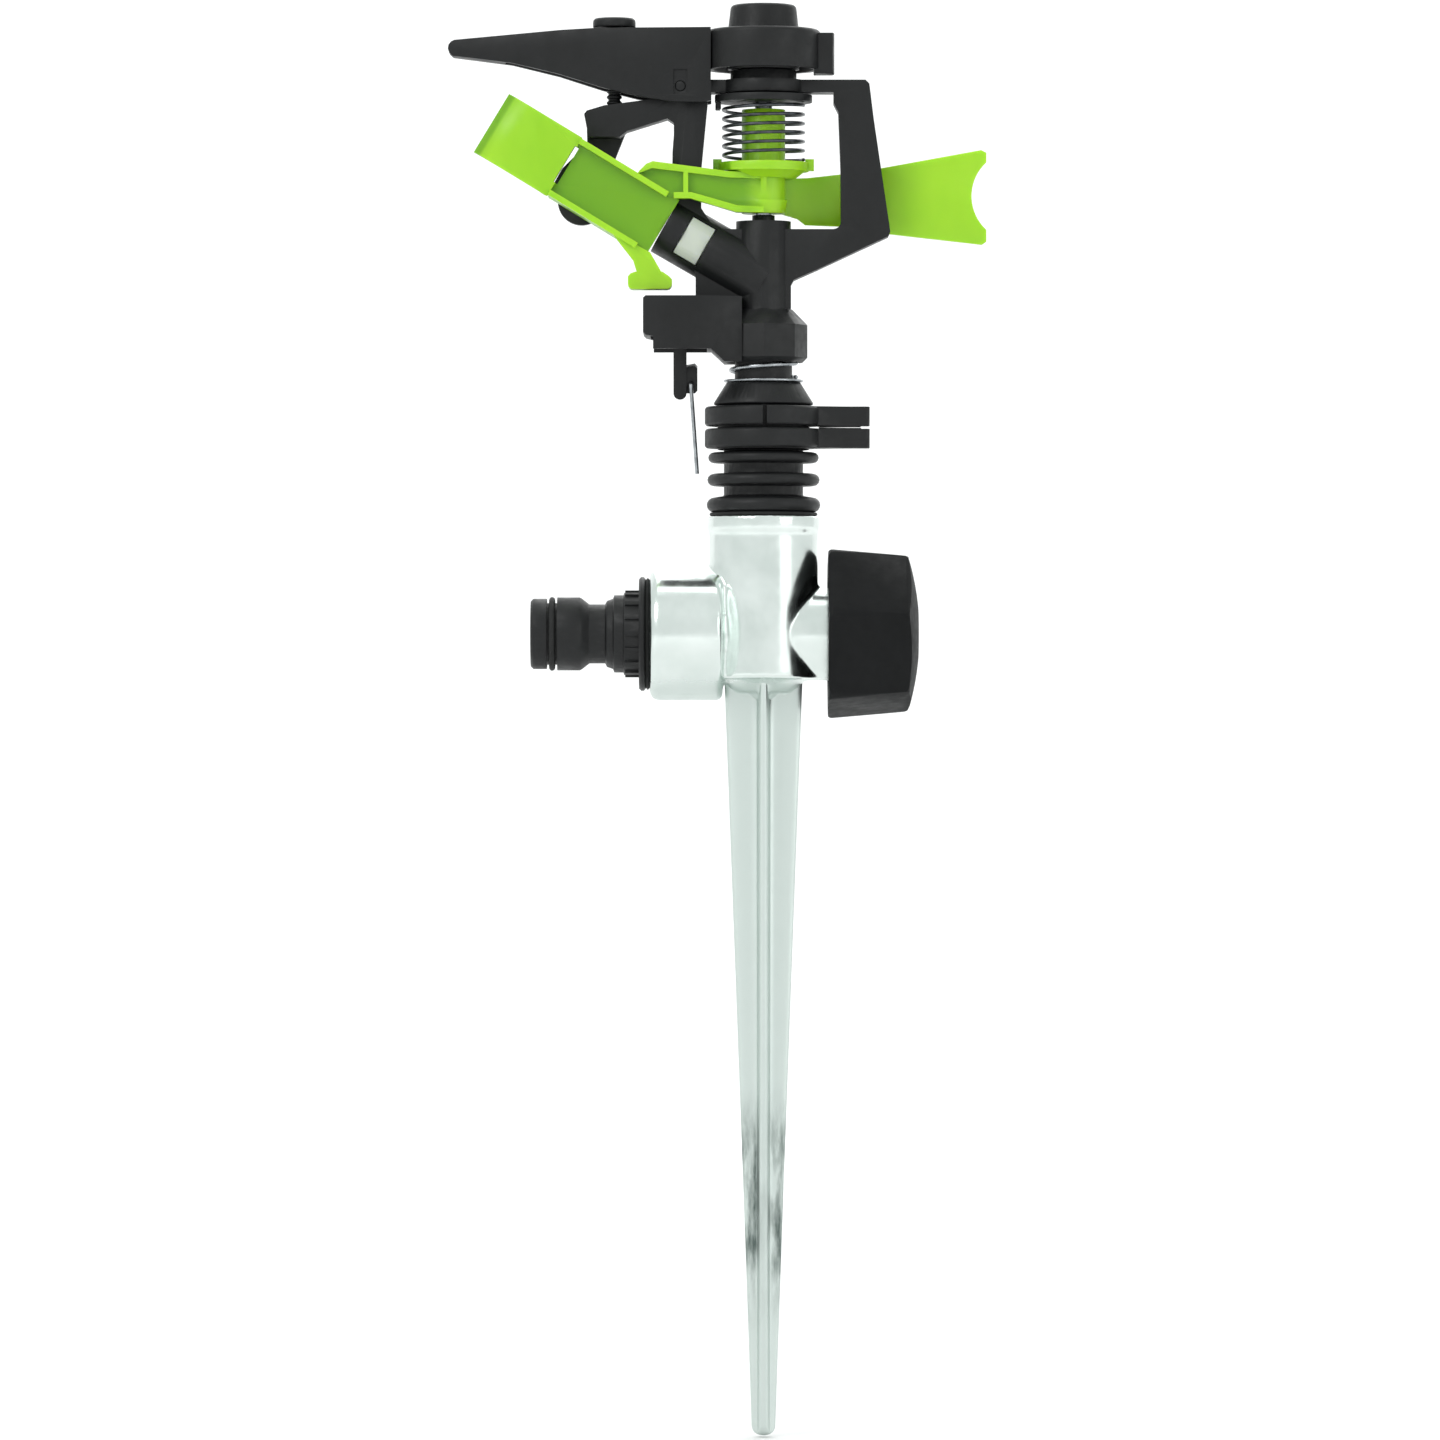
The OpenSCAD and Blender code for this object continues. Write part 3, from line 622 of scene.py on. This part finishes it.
# Polypropylene from a grained mould: charcoal, with a soft wide shine along its edges
BLACK = Moulding("black_moulded_polypropylene", "black_plastic")
# ABS from a fine matt mould: darker and flatter than the head's plastic
KNOB_BLACK = Moulding(
    "black_moulded_abs",
    "knob_plastic",
    dark="#0D0E0F",
    light="#131415",
    rough_low=0.54,
    rough_high=0.66,
    sheen=0.16,
    wave=0.08,
)
# Tinted acetal from a polished mould: light passes a little way in, so it seems to glow; its
# set-back floors carry painted shade
GREEN = ClearMoulding(
    "lime_moulded_acetal",
    "green_plastic",
    dark="#8FC516",
    light="#9ED022",
    rough_low=0.32,
    rough_high=0.44,
    sheen=0.42,
    flow=16 * MM,
    grit=0.6 * MM,
    grit_depth=0.012 * MM,
    under_skin=0.5,
)
# Untinted acetal, moulded: pale and slightly waxy
IVORY = Moulding(
    "pale_moulded_acetal",
    "pale_plastic",
    dark="#AEB6AA",
    light="#BEC5B9",
    rough_low=0.38,
    rough_high=0.52,
    under_skin=0.15,
)
# Nitrile rubber, moulded: swallows light, with a dusty bloom
RUBBER = SealRubber("moulded_nitrile_rubber", "seal_rubber")
# Stainless wire and rod, drawn: grey, with a streaked shine
STEEL = DrawnMetal("drawn_stainless_steel", "steel_parts")
# Spring wire, tempered in oil: dark grey with a dull glint
SPRING_STEEL = DrawnMetal(
    "oil_tempered_spring_steel",
    "spring_steel",
    light="#5C5F63",
    dark="#3A3C40",
    rough_low=0.28,
    rough_high=0.42,
)
# Brass, turned on a lathe: yellow and fairly bright
BRASS = DrawnMetal(
    "turned_brass", "plug_brass", light="#C9A45C", dark="#A88343", rough_low=0.25
)


# ---------------------------------------------------------------- surfaces


def grid_faces(rows: int, columns: int) -> np.ndarray:
    """Quads of a grid of points that is numbered row by row.

    Args:
        rows: the number of rows.
        columns: the number of points in a row.

    Returns:
        One row of four point numbers for each quad; the columns join round.
    """
    i, j = np.meshgrid(np.arange(rows - 1), np.arange(columns), indexing="ij")
    beside = (j + 1) % columns
    corners = (
        i * columns + j,
        i * columns + beside,
        (i + 1) * columns + beside,
        (i + 1) * columns + j,
    )
    return np.stack(corners, axis=-1).reshape(-1, 4)


def new_piece(name: str, points: np.ndarray, faces: Sequence) -> bpy.types.Object:
    """Makes a smooth-shaded mesh object at the origin.

    Args:
        name: the piece's name.
        points: its points, one per row, in metres.
        faces: its faces, as point numbers.

    Returns:
        The object, with doubles merged and its normals outwards.
    """
    mesh = bpy.data.meshes.new(name)
    mesh.from_pydata(points.tolist(), [], [list(map(int, f)) for f in faces])
    shape = bmesh.new()
    shape.from_mesh(mesh)
    bmesh.ops.remove_doubles(shape, verts=shape.verts, dist=1e-7)
    bmesh.ops.recalc_face_normals(shape, faces=shape.faces)
    for face in shape.faces:
        face.smooth = True
    shape.to_mesh(mesh)
    shape.free()
    piece = bpy.data.objects.new(name, mesh)
    bpy.context.scene.collection.objects.link(piece)
    return piece


def skin_grid(name: str, points: np.ndarray) -> bpy.types.Object:
    """Makes a piece from a grid of points whose rows are closed loops.

    Args:
        name: the piece's name.
        points: an array of rows, columns and three coordinates.

    Returns:
        The object; a face caps each end.
    """
    rows, columns = points.shape[:2]
    faces = grid_faces(rows, columns).tolist()
    faces.append(list(range(columns))[::-1])
    faces.append(list(range((rows - 1) * columns, rows * columns)))
    return new_piece(name, points.reshape(-1, 3), faces)


def coil(
    name: str,
    radius: np.ndarray,
    height: np.ndarray,
    angle: np.ndarray,
    wire: float,
    sides: int = 12,
    centre: tuple[float, float] = (0, 0),
) -> bpy.types.Object:
    """Carries a round wire along a path round an upright axis.

    The path's point i is at radius[i] and height[i], angle[i] round; the wire's
    circle stands square to the path.

    Args:
        name: the piece's name.
        radius: the path's distance from the axis at each step.
        height: its height at each step.
        angle: its angle at each step, in radians.
        wire: the wire's radius.
        sides: the number of points round the wire.
        centre: where the axis stands, in X and Y.

    Returns:
        The object, its ends closed.
    """
    path = np.stack(
        [centre[0] + radius * np.cos(angle), centre[1] + radius * np.sin(angle), height],
        axis=1,
    )
    return tube(name, path, wire, sides)


def tube(
    name: str, path: np.ndarray, wire: float, sides: int = 12, end_rows: int = 3
) -> bpy.types.Object:
    """Carries a circle along a path of points.

    At each point the circle spans two directions square to the path: one is the
    path's direction crossed with a fixed slanted line, the other completes it.

    Args:
        name: the piece's name.
        path: the path's points, one per row.
        wire: the circle's radius.
        sides: the number of points round it.
        end_rows: the number of smaller circles that round off an end.

    Returns:
        The object, with rounded ends.
    """
    run = np.gradient(path, axis=0)
    run /= np.linalg.norm(run, axis=1, keepdims=True)
    side = np.cross(run, np.array(WIRE_SLANT))
    side /= np.linalg.norm(side, axis=1, keepdims=True)
    up = np.cross(side, run)
    t = np.linspace(0, TURN, sides, endpoint=False)
    ring = side[:, None] * np.cos(t)[None, :, None] + up[:, None] * np.sin(t)[None, :, None]
    body = path[:, None] + wire * ring
    quarter = np.linspace(0, TURN / 4, end_rows + 1)[:-1]
    swell, back = np.sin(quarter), np.cos(quarter)
    nose = [path[:1] + wire * (s * ring[0] - b * run[:1]) for s, b in zip(swell, back)]
    tail = [path[-1:] + wire * (s * ring[-1] + b * run[-1:]) for s, b in zip(swell, back)]
    points = np.concatenate([np.stack(nose), body, np.stack(tail[::-1])])
    return skin_grid(name, points)


def softened(node: str, name: str, width: float, steps: int = 2) -> bpy.types.Object:
    """Copies a CAD node and rounds its edges, as a moulding's are.

    Args:
        node: the CAD node.
        name: the new piece's name.
        width: how far from an edge its rounding starts.
        steps: the number of faces across a rounding.

    Returns:
        The new object, with a live Bevel modifier.
    """
    shape = bmesh.new()
    shape.from_mesh(frame["nodes"][node].data)
    bmesh.ops.remove_doubles(shape, verts=shape.verts, dist=DOUBLE)
    bmesh.ops.dissolve_limit(
        shape, angle_limit=math.radians(FLAT_ANGLE), verts=shape.verts, edges=shape.edges
    )
    for face in shape.faces:
        face.smooth = True
    mesh = bpy.data.meshes.new(name)
    shape.to_mesh(mesh)
    shape.free()
    piece = bpy.data.objects.new(name, mesh)
    bpy.context.scene.collection.objects.link(piece)
    bevel = piece.modifiers.new("rounded edges", "BEVEL")
    bevel.width = width
    bevel.segments = steps
    bevel.limit_method = "ANGLE"
    bevel.angle_limit = math.radians(EDGE_ANGLE)
    bevel.harden_normals = True
    bevel.miter_outer = "MITER_ARC"
    return piece


def cast_skin(
    shape: bmesh.types.BMesh, name: str, step: float, rounds: int
) -> bpy.types.Object:
    """Gives a solid the soft fillets of a casting.

    The solid is rebuilt on a fine even grid of cells and its points are then
    averaged with their neighbours, which rounds both inner and outer corners.

    Args:
        shape: the closed solid; it is freed here.
        name: the new piece's name.
        step: the size of a cell.
        rounds: the number of rounds of averaging.

    Returns:
        The new object, with a plain mesh.
    """
    rough = bpy.data.meshes.new(name + "_rough")
    shape.to_mesh(rough)
    shape.free()
    holder = bpy.data.objects.new(name + "_rough", rough)
    bpy.context.scene.collection.objects.link(holder)
    cells = holder.modifiers.new("cells", "REMESH")
    cells.mode = "VOXEL"
    cells.voxel_size = step
    cells.use_smooth_shade = True
    even = holder.modifiers.new("even", "SMOOTH")
    even.factor = 0.5
    even.iterations = rounds
    graph = bpy.context.evaluated_depsgraph_get()
    mesh = bpy.data.meshes.new_from_object(holder.evaluated_get(graph))
    mesh.name = name
    bpy.data.objects.remove(holder)
    bpy.data.meshes.remove(rough)
    piece = bpy.data.objects.new(name, mesh)
    bpy.context.scene.collection.objects.link(piece)
    return piece


def stand_in(piece: bpy.types.Object, node: str, body: Body, finish: Finish) -> None:
    """Puts a piece in the place of a CAD node.

    Args:
        piece: the finished piece.
        node: the CAD node that it stands for.
        body: the body that it moves with.
        finish: its finish.
    """
    finish.dress(piece)
    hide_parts(node)
    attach(piece, body)
    log.info("%s stands for %s on %s", piece.name, node, body)


def mould(
    node: str, name: str, width: float, body: Body, finish: Finish, steps: int = 2
) -> None:
    """Puts a copy of a CAD node with rounded edges in the node's place.

    Args:
        node: the CAD node.
        name: the new piece's name.
        width: how far from an edge its rounding starts.
        body: the body that it moves with.
        finish: its finish.
        steps: the number of faces across a rounding.
    """
    stand_in(softened(node, name, width, steps), node, body, finish)


# ---------------------------------------------------------------- the base


@dataclass
class Base:
    """Spike casting, hose nipple, seals and bearing, which all stay still."""

    spike_len: float = 173 * MM
    root_half: float = 8.9 * MM
    tip_half: float = 2.5 * MM
    blade_half: float = 1.05 * MM
    core_root: float = 2.0 * MM
    core_tip: float = 1.7 * MM
    side_share: float = 0.8  # at the tip, a blade is no thicker than this share
    core_share: float = 0.9  # and the core no wider than this share of its reach
    edge_power: float = 5
    fillet_power: float = 3
    top: float = 4.0 * MM
    cut: float = -4.6 * MM
    draw_in: float = 0.5  # the cut blade stubs shrink to this share
    cast_step: float = 0.42 * MM
    cast_rounds: int = 10
    rows: int = 260
    tip_rows: int = 16
    blade_points: int = 32
    crowding: float = 1.9  # above 1, gathers the points of the outline at the blades
    nipple_edge: float = 0.25 * MM
    nut_edge: float = 0.3 * MM
    bonnet_edge: float = 0.2 * MM
    washer_edge: float = 0.12 * MM

    def build(self) -> None:
        """Builds and dresses the base."""
        self.casting()
        mould("hose_nipple", "hose_nipple_moulding", self.nipple_edge, Body.BASE, BLACK)
        mould("bearing_nut", "bearing_nut_moulding", self.nut_edge, Body.BASE, BLACK)
        mould("valve_bonnet", "valve_bonnet_moulding", self.bonnet_edge, Body.BASE, BLACK)
        for node in (
            "nipple_o_ring",
            "nipple_gasket",
            "stem_o_ring",
            "bearing_gasket",
            "seal_washer",
        ):
            RUBBER.dress(frame["nodes"][node])
        IVORY.dress(frame["nodes"]["wear_washers"])
        mould("spring_washer", "pressed_spring_washer", self.washer_edge, Body.BASE, STEEL)

    def casting(self) -> None:
        """Builds the valve casting and the spike below it.

        The casting is the CAD node without its blades: it is cut off below the
        collar, and the blade stubs that are left are drawn in, so that they end
        inside the spike that is built here.
        """
        shape = bmesh.new()
        shape.from_mesh(frame["nodes"]["spike_body"].data)
        bmesh.ops.remove_doubles(shape, verts=shape.verts, dist=DOUBLE)
        cut = bmesh.ops.bisect_plane(
            shape,
            geom=[*shape.verts, *shape.edges, *shape.faces],
            plane_co=(0, 0, self.cut),
            plane_no=(0, 0, -1),
            clear_outer=True,
        )
        rim = [part for part in cut["geom_cut"] if isinstance(part, bmesh.types.BMVert)]
        for corner in rim:
            corner.co.x *= self.draw_in
            corner.co.y *= self.draw_in
        edges = [part for part in cut["geom_cut"] if isinstance(part, bmesh.types.BMEdge)]
        bmesh.ops.holes_fill(shape, edges=edges, sides=0)
        body = cast_skin(shape, "valve_casting", self.cast_step, self.cast_rounds)
        stand_in(body, "spike_body", Body.BASE, PLATED)
        stand_in(self.spike(), "spike_body", Body.BASE, PLATED)

    def spike(self) -> bpy.types.Object:
        """Builds the spike: four tapering blades joined by hollow fillets.

        At a height, each blade reaches out by a half width that falls evenly from
        the root to the tip and ends there in a half circle. The outline at an angle
        from the nearest blade is the fifth-power mean of the blade's end and side,
        so that its edges are round; the third-power mean of that and a core radius
        fills the inner corners.

        Returns:
            The spike, from inside the casting to its tip.
        """
        tip_z = self.tip_half - self.spike_len
        z = np.concatenate(
            [
                np.linspace(self.top, tip_z, self.rows),
                tip_z - self.tip_half * np.sin(np.linspace(0, TURN / 4, self.tip_rows))[1:],
            ]
        )[:, None]
        share = np.clip(z / tip_z, 0, 1)
        half = self.root_half + (self.tip_half - self.root_half) * share
        past = np.clip((tip_z - z) / self.tip_half, 0, 1)
        half = half * np.sqrt(np.clip(1 - past**2, 1e-4, 1))
        side = np.minimum(self.blade_half, self.side_share * half)
        core = self.core_root + (self.core_tip - self.core_root) * share
        core = np.minimum(core, self.core_share * half)
        u = np.linspace(-1, 1, self.blade_points, endpoint=False)
        lean = np.sign(u) * np.abs(u) ** self.crowding * TURN / 8
        turn = (np.arange(4)[:, None] * TURN / 4 + lean[None, :]).ravel()[None, :]
        lean = np.tile(lean, 4)[None, :]
        ends = np.cos(lean) / half
        sides = np.abs(np.sin(lean)) / side
        edge, fillet = self.edge_power, self.fillet_power
        blade = (ends**edge + sides**edge) ** (-1 / edge)
        r = (blade**fillet + core**fillet) ** (1 / fillet)
        points = np.stack(
            [r * np.cos(turn), r * np.sin(turn), np.broadcast_to(z, r.shape)], axis=-1
        )
        return skin_grid("spike", points)


@dataclass
class Valve:
    """Flow knob, its screw and the plug that it turns."""

    knob_edge: float = 0.7 * MM
    screw_edge: float = 0.15 * MM

    def build(self) -> None:
        """Builds and dresses the valve's turning parts."""
        mould("flow_knob", "knob_shell", self.knob_edge, Body.VALVE, KNOB_BLACK, 3)
        mould("knob_screw", "knob_fixing_screw", self.screw_edge, Body.VALVE, STEEL)
        BRASS.dress(frame["nodes"]["valve_plug"])


@dataclass
class StopRings:
    """The two split stop rings."""

    edge: float = 0.3 * MM

    def build(self) -> None:
        """Builds and dresses both rings."""
        mould("stop_ring_lower", "split_ring_lower", self.edge, Body.RING_LOWER, BLACK)
        mould("stop_ring_upper", "split_ring_upper", self.edge, Body.RING_UPPER, BLACK)


@dataclass
class Head:
    """Head moulding, nozzle and everything that only swivels with it."""

    head_edge: float = 0.35 * MM
    nozzle_edge: float = 0.25 * MM
    pin_edge: float = 0.2 * MM
    axle_edge: float = 0.3 * MM
    bearing_wire: float = 0.5 * MM
    bearing_turns: float = 2.7
    bearing_steps: int = 160
    trip_wire: float = 0.25 * MM
    trip_turns: float = 8.0
    trip_steps: int = 400
    trip_sides: int = 8

    def build(self) -> None:
        """Builds and dresses the head."""
        mould("head_body", "head_moulding", self.head_edge, Body.HEAD, BLACK)
        mould("nozzle_insert", "nozzle", self.nozzle_edge, Body.HEAD, IVORY)
        IVORY.dress(frame["nodes"]["stream_straightener"])
        BLACK.dress(frame["nodes"]["swivel_tube"])
        for node in ("arm_pin", "trip_pin", "reverse_pin"):
            mould(node, node + "_rod", self.pin_edge, Body.HEAD, STEEL)
        mould("deflector_pin", "deflector_pin_rod", self.axle_edge, Body.HEAD, BLACK)
        self.springs()

    def springs(self) -> None:
        """Builds the bearing spring and the trip spring."""
        share = np.linspace(0, 1, self.bearing_steps)
        low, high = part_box("bearing_spring")
        wire = self.bearing_wire
        spring = coil(
            "bearing_spring_wire",
            np.full_like(share, high.x - wire),
            low.z + wire + (high.z - low.z - 2 * wire) * share,
            share * self.bearing_turns * TURN,
            wire,
        )
        stand_in(spring, "bearing_spring", Body.HEAD, STEEL)
        low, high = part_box("trip_spring")
        wire = self.trip_wire
        spring = coil(
            "trip_spring_wire",
            np.full(self.trip_steps, (high.x - low.x) / 2 - wire),
            np.linspace(low.z + wire, high.z - wire, self.trip_steps),
            np.linspace(0, self.trip_turns * TURN, self.trip_steps),
            wire,
            self.trip_sides,
            ((low.x + high.x) / 2, (low.y + high.y) / 2),
        )
        stand_in(spring, "trip_spring", Body.HEAD, SPRING_STEEL)


@dataclass
class ImpactArm:
    """The sprung arm that beats the head round."""

    edge: float = 0.3 * MM

    def build(self) -> None:
        """Builds and dresses the arm."""
        mould("impact_arm", "arm_moulding", self.edge, Body.ARM, GREEN)


@dataclass
class TensionCap:
    """Cap, spring anchor and arm spring."""

    cap_edge: float = 0.35 * MM
    anchor_edge: float = 0.2 * MM
    turns: float = 6.0
    wire: float = 0.4 * MM
    steps: int = 480

    def build(self) -> None:
        """Builds and dresses the cap and the spring under it."""
        mould("tension_cap", "cap_moulding", self.cap_edge, Body.CAP, BLACK)
        mould("spring_anchor", "anchor_plate", self.anchor_edge, Body.CAP, BLACK)
        low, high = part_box("arm_spring")
        share = np.linspace(0, 1, self.steps)
        spring = coil(
            "arm_spring_wire",
            np.full(self.steps, high.x - self.wire),
            low.z + self.wire + (high.z - low.z - 2 * self.wire) * share,
            share * self.turns * TURN,
            self.wire,
        )
        stand_in(spring, "arm_spring", Body.CAP, SPRING_STEEL)


@dataclass
class Deflector:
    """Flap that is pressed into the jet, and the screw that presses it."""

    flap_edge: float = 0.4 * MM
    screw_edge: float = 0.12 * MM

    def build(self) -> None:
        """Builds and dresses the flap and its screw."""
        mould("deflector_flap", "flap_moulding", self.flap_edge, Body.FLAP, BLACK)
        mould("deflector_screw", "flap_thumb_screw", self.screw_edge, Body.SCREW, BLACK)


@dataclass
class TripGear:
    """Lever, wire and reverse lever that turn the head back at a stop."""

    trip_edge: float = 0.3 * MM
    reverse_edge: float = 0.2 * MM

    def build(self) -> None:
        """Builds and dresses the trip gear."""
        mould("trip_lever", "trip_lever_moulding", self.trip_edge, Body.TRIP, BLACK)
        mould("reverse_lever", "reverse_lever_moulding", self.reverse_edge, Body.REVERSE, BLACK)
        STEEL.dress(frame["nodes"]["trip_wire"])


@dataclass(frozen=True)
class Softbox:
    """A square area light: its name, place, side in metres and power in watts."""

    name: str
    place: tuple[float, float, float]
    side: float
    power: float


@dataclass
class Studio:
    """Camera, soft lights and a plain pale sweep behind the object."""

    view_width: float = 331.2 * MM
    middle: tuple[float, float] = (-10.0 * MM, -8.5 * MM)
    lens: float = 200.0
    sensor: float = 36.0
    clip_end: float = 20.0
    floor_gap: float = 0.4 * MM
    sky: str = "#F5F9F8"
    sky_low: float = -0.15
    sky_high: float = 0.7
    horizon: float = 0.93
    zenith: float = 0.97
    paper: str = "#E4E4E4"
    glow: str = "#FFFFFF"
    glow_from: float = 0.3
    glow_to: float = 1.6
    near_glow: float = 0.04
    far_glow: float = 0.36
    bend: float = 0.8
    bend_rows: int = 24
    front: float = -4.0
    back: float = 2.6
    half_width: float = 4.0
    upright: float = 4.5
    softboxes: tuple[Softbox, ...] = (
        Softbox("key", (-0.9, -1.1, 1.0), 0.7, 8),
        Softbox("fill", (1.2, -1.1, 0.4), 0.7, 2.5),
        Softbox("top", (0.0, 0.1, 1.3), 0.8, 2.5),
        Softbox("back", (0.2, 1.0, 0.9), 1.4, 6),
    )

    def build(self) -> None:
        """Builds the whole studio."""
        self.camera()
        self.sweep()
        self.lights()

    def camera(self) -> None:
        """Places a long-lens camera level in front of the object."""
        made = bpy.data.cameras.new("camera")
        made.lens = self.lens
        made.sensor_width = self.sensor
        made.clip_end = self.clip_end
        away = self.view_width * self.lens / self.sensor
        holder = bpy.data.objects.new("camera", made)
        holder.location = (self.middle[0], -away, self.middle[1])
        holder.rotation_euler = (math.pi / 2, 0, 0)
        bpy.context.scene.collection.objects.link(holder)
        bpy.context.scene.camera = holder

    def sweep(self) -> None:
        """Builds a floor that curves up into a backdrop, as one sheet.

        The sheet's side outline is a flat run, a quarter circle and an upright.
        """
        low = CAD_BOX[0][2] - self.floor_gap
        t = np.linspace(-TURN / 4, 0, self.bend_rows)
        wall = self.back + self.bend
        y = np.concatenate([[self.front], self.back + self.bend * np.cos(t), [wall]])
        z = low + np.concatenate([[0], self.bend + self.bend * np.sin(t), [self.upright]])
        x = np.array([-self.half_width, self.half_width])
        points = np.stack(np.broadcast_arrays(x[None, :], y[:, None], z[:, None]), axis=-1)
        count = len(y)
        faces = [[2 * i, 2 * i + 1, 2 * i + 3, 2 * i + 2] for i in range(count - 1)]
        piece = new_piece("studio_sweep", points.reshape(-1, 3), faces)
        paper = bpy.data.materials.new("studio_paper")
        paper.use_nodes = True
        tree = paper.node_tree
        place = add(tree, "ShaderNodeTexCoord")
        away = add(
            tree,
            "ShaderNodeVectorMath",
            {1: (1, 1, 0)},
            {0: place.outputs["Object"]},
            operation="MULTIPLY",
        )
        reach = add(
            tree, "ShaderNodeVectorMath", links={0: away.outputs["Vector"]}, operation="LENGTH"
        )
        glow = add(
            tree,
            "ShaderNodeMapRange",
            {
                "From Min": self.glow_from,
                "From Max": self.glow_to,
                "To Min": self.near_glow,
                "To Max": self.far_glow,
            },
            {"Value": reach.outputs["Value"]},
            interpolation_type="SMOOTHSTEP",
        )
        shader = tree.nodes["Principled BSDF"]
        shader.inputs["Base Color"].default_value = linear(self.paper)
        shader.inputs["Roughness"].default_value = 0.9
        shader.inputs["Emission Color"].default_value = linear(self.glow)
        tree.links.new(glow.outputs["Result"], shader.inputs["Emission Strength"])
        piece.data.materials.append(paper)

    def lights(self) -> None:
        """Places four soft area lights under a sky that is brighter overhead."""
        world = bpy.data.worlds.new("studio")
        world.use_nodes = True
        tree = world.node_tree
        place = add(tree, "ShaderNodeTexCoord")
        apart = add(
            tree, "ShaderNodeSeparateXYZ", links={"Vector": place.outputs["Generated"]}
        )
        rise = add(
            tree,
            "ShaderNodeMapRange",
            {
                "From Min": self.sky_low,
                "From Max": self.sky_high,
                "To Min": self.horizon,
                "To Max": self.zenith,
            },
            {"Value": apart.outputs["Z"]},
            interpolation_type="SMOOTHSTEP",
        )
        sky = tree.nodes["Background"]
        sky.inputs["Color"].default_value = linear(self.sky)
        tree.links.new(rise.outputs["Result"], sky.inputs["Strength"])
        bpy.context.scene.world = world
        for box in self.softboxes:
            lamp = bpy.data.lights.new(box.name, "AREA")
            lamp.size = box.side
            lamp.energy = box.power
            holder = bpy.data.objects.new(box.name, lamp)
            holder.location = box.place
            holder.rotation_euler = (-Vector(box.place)).to_track_quat("-Z", "Y").to_euler()
            bpy.context.scene.collection.objects.link(holder)
        bpy.context.scene.view_settings.view_transform = "Standard"


def main() -> None:
    """Builds every sub-assembly in order."""
    logging.basicConfig(level=logging.INFO, format="%(name)s: %(message)s")
    parts = (
        Studio(),
        Base(),
        Valve(),
        StopRings(),
        Head(),
        ImpactArm(),
        TensionCap(),
        Deflector(),
        TripGear(),
    )
    for part in parts:
        part.build()
        log.info("built %s", type(part).__name__)


if __name__ == "__main__":
    main()
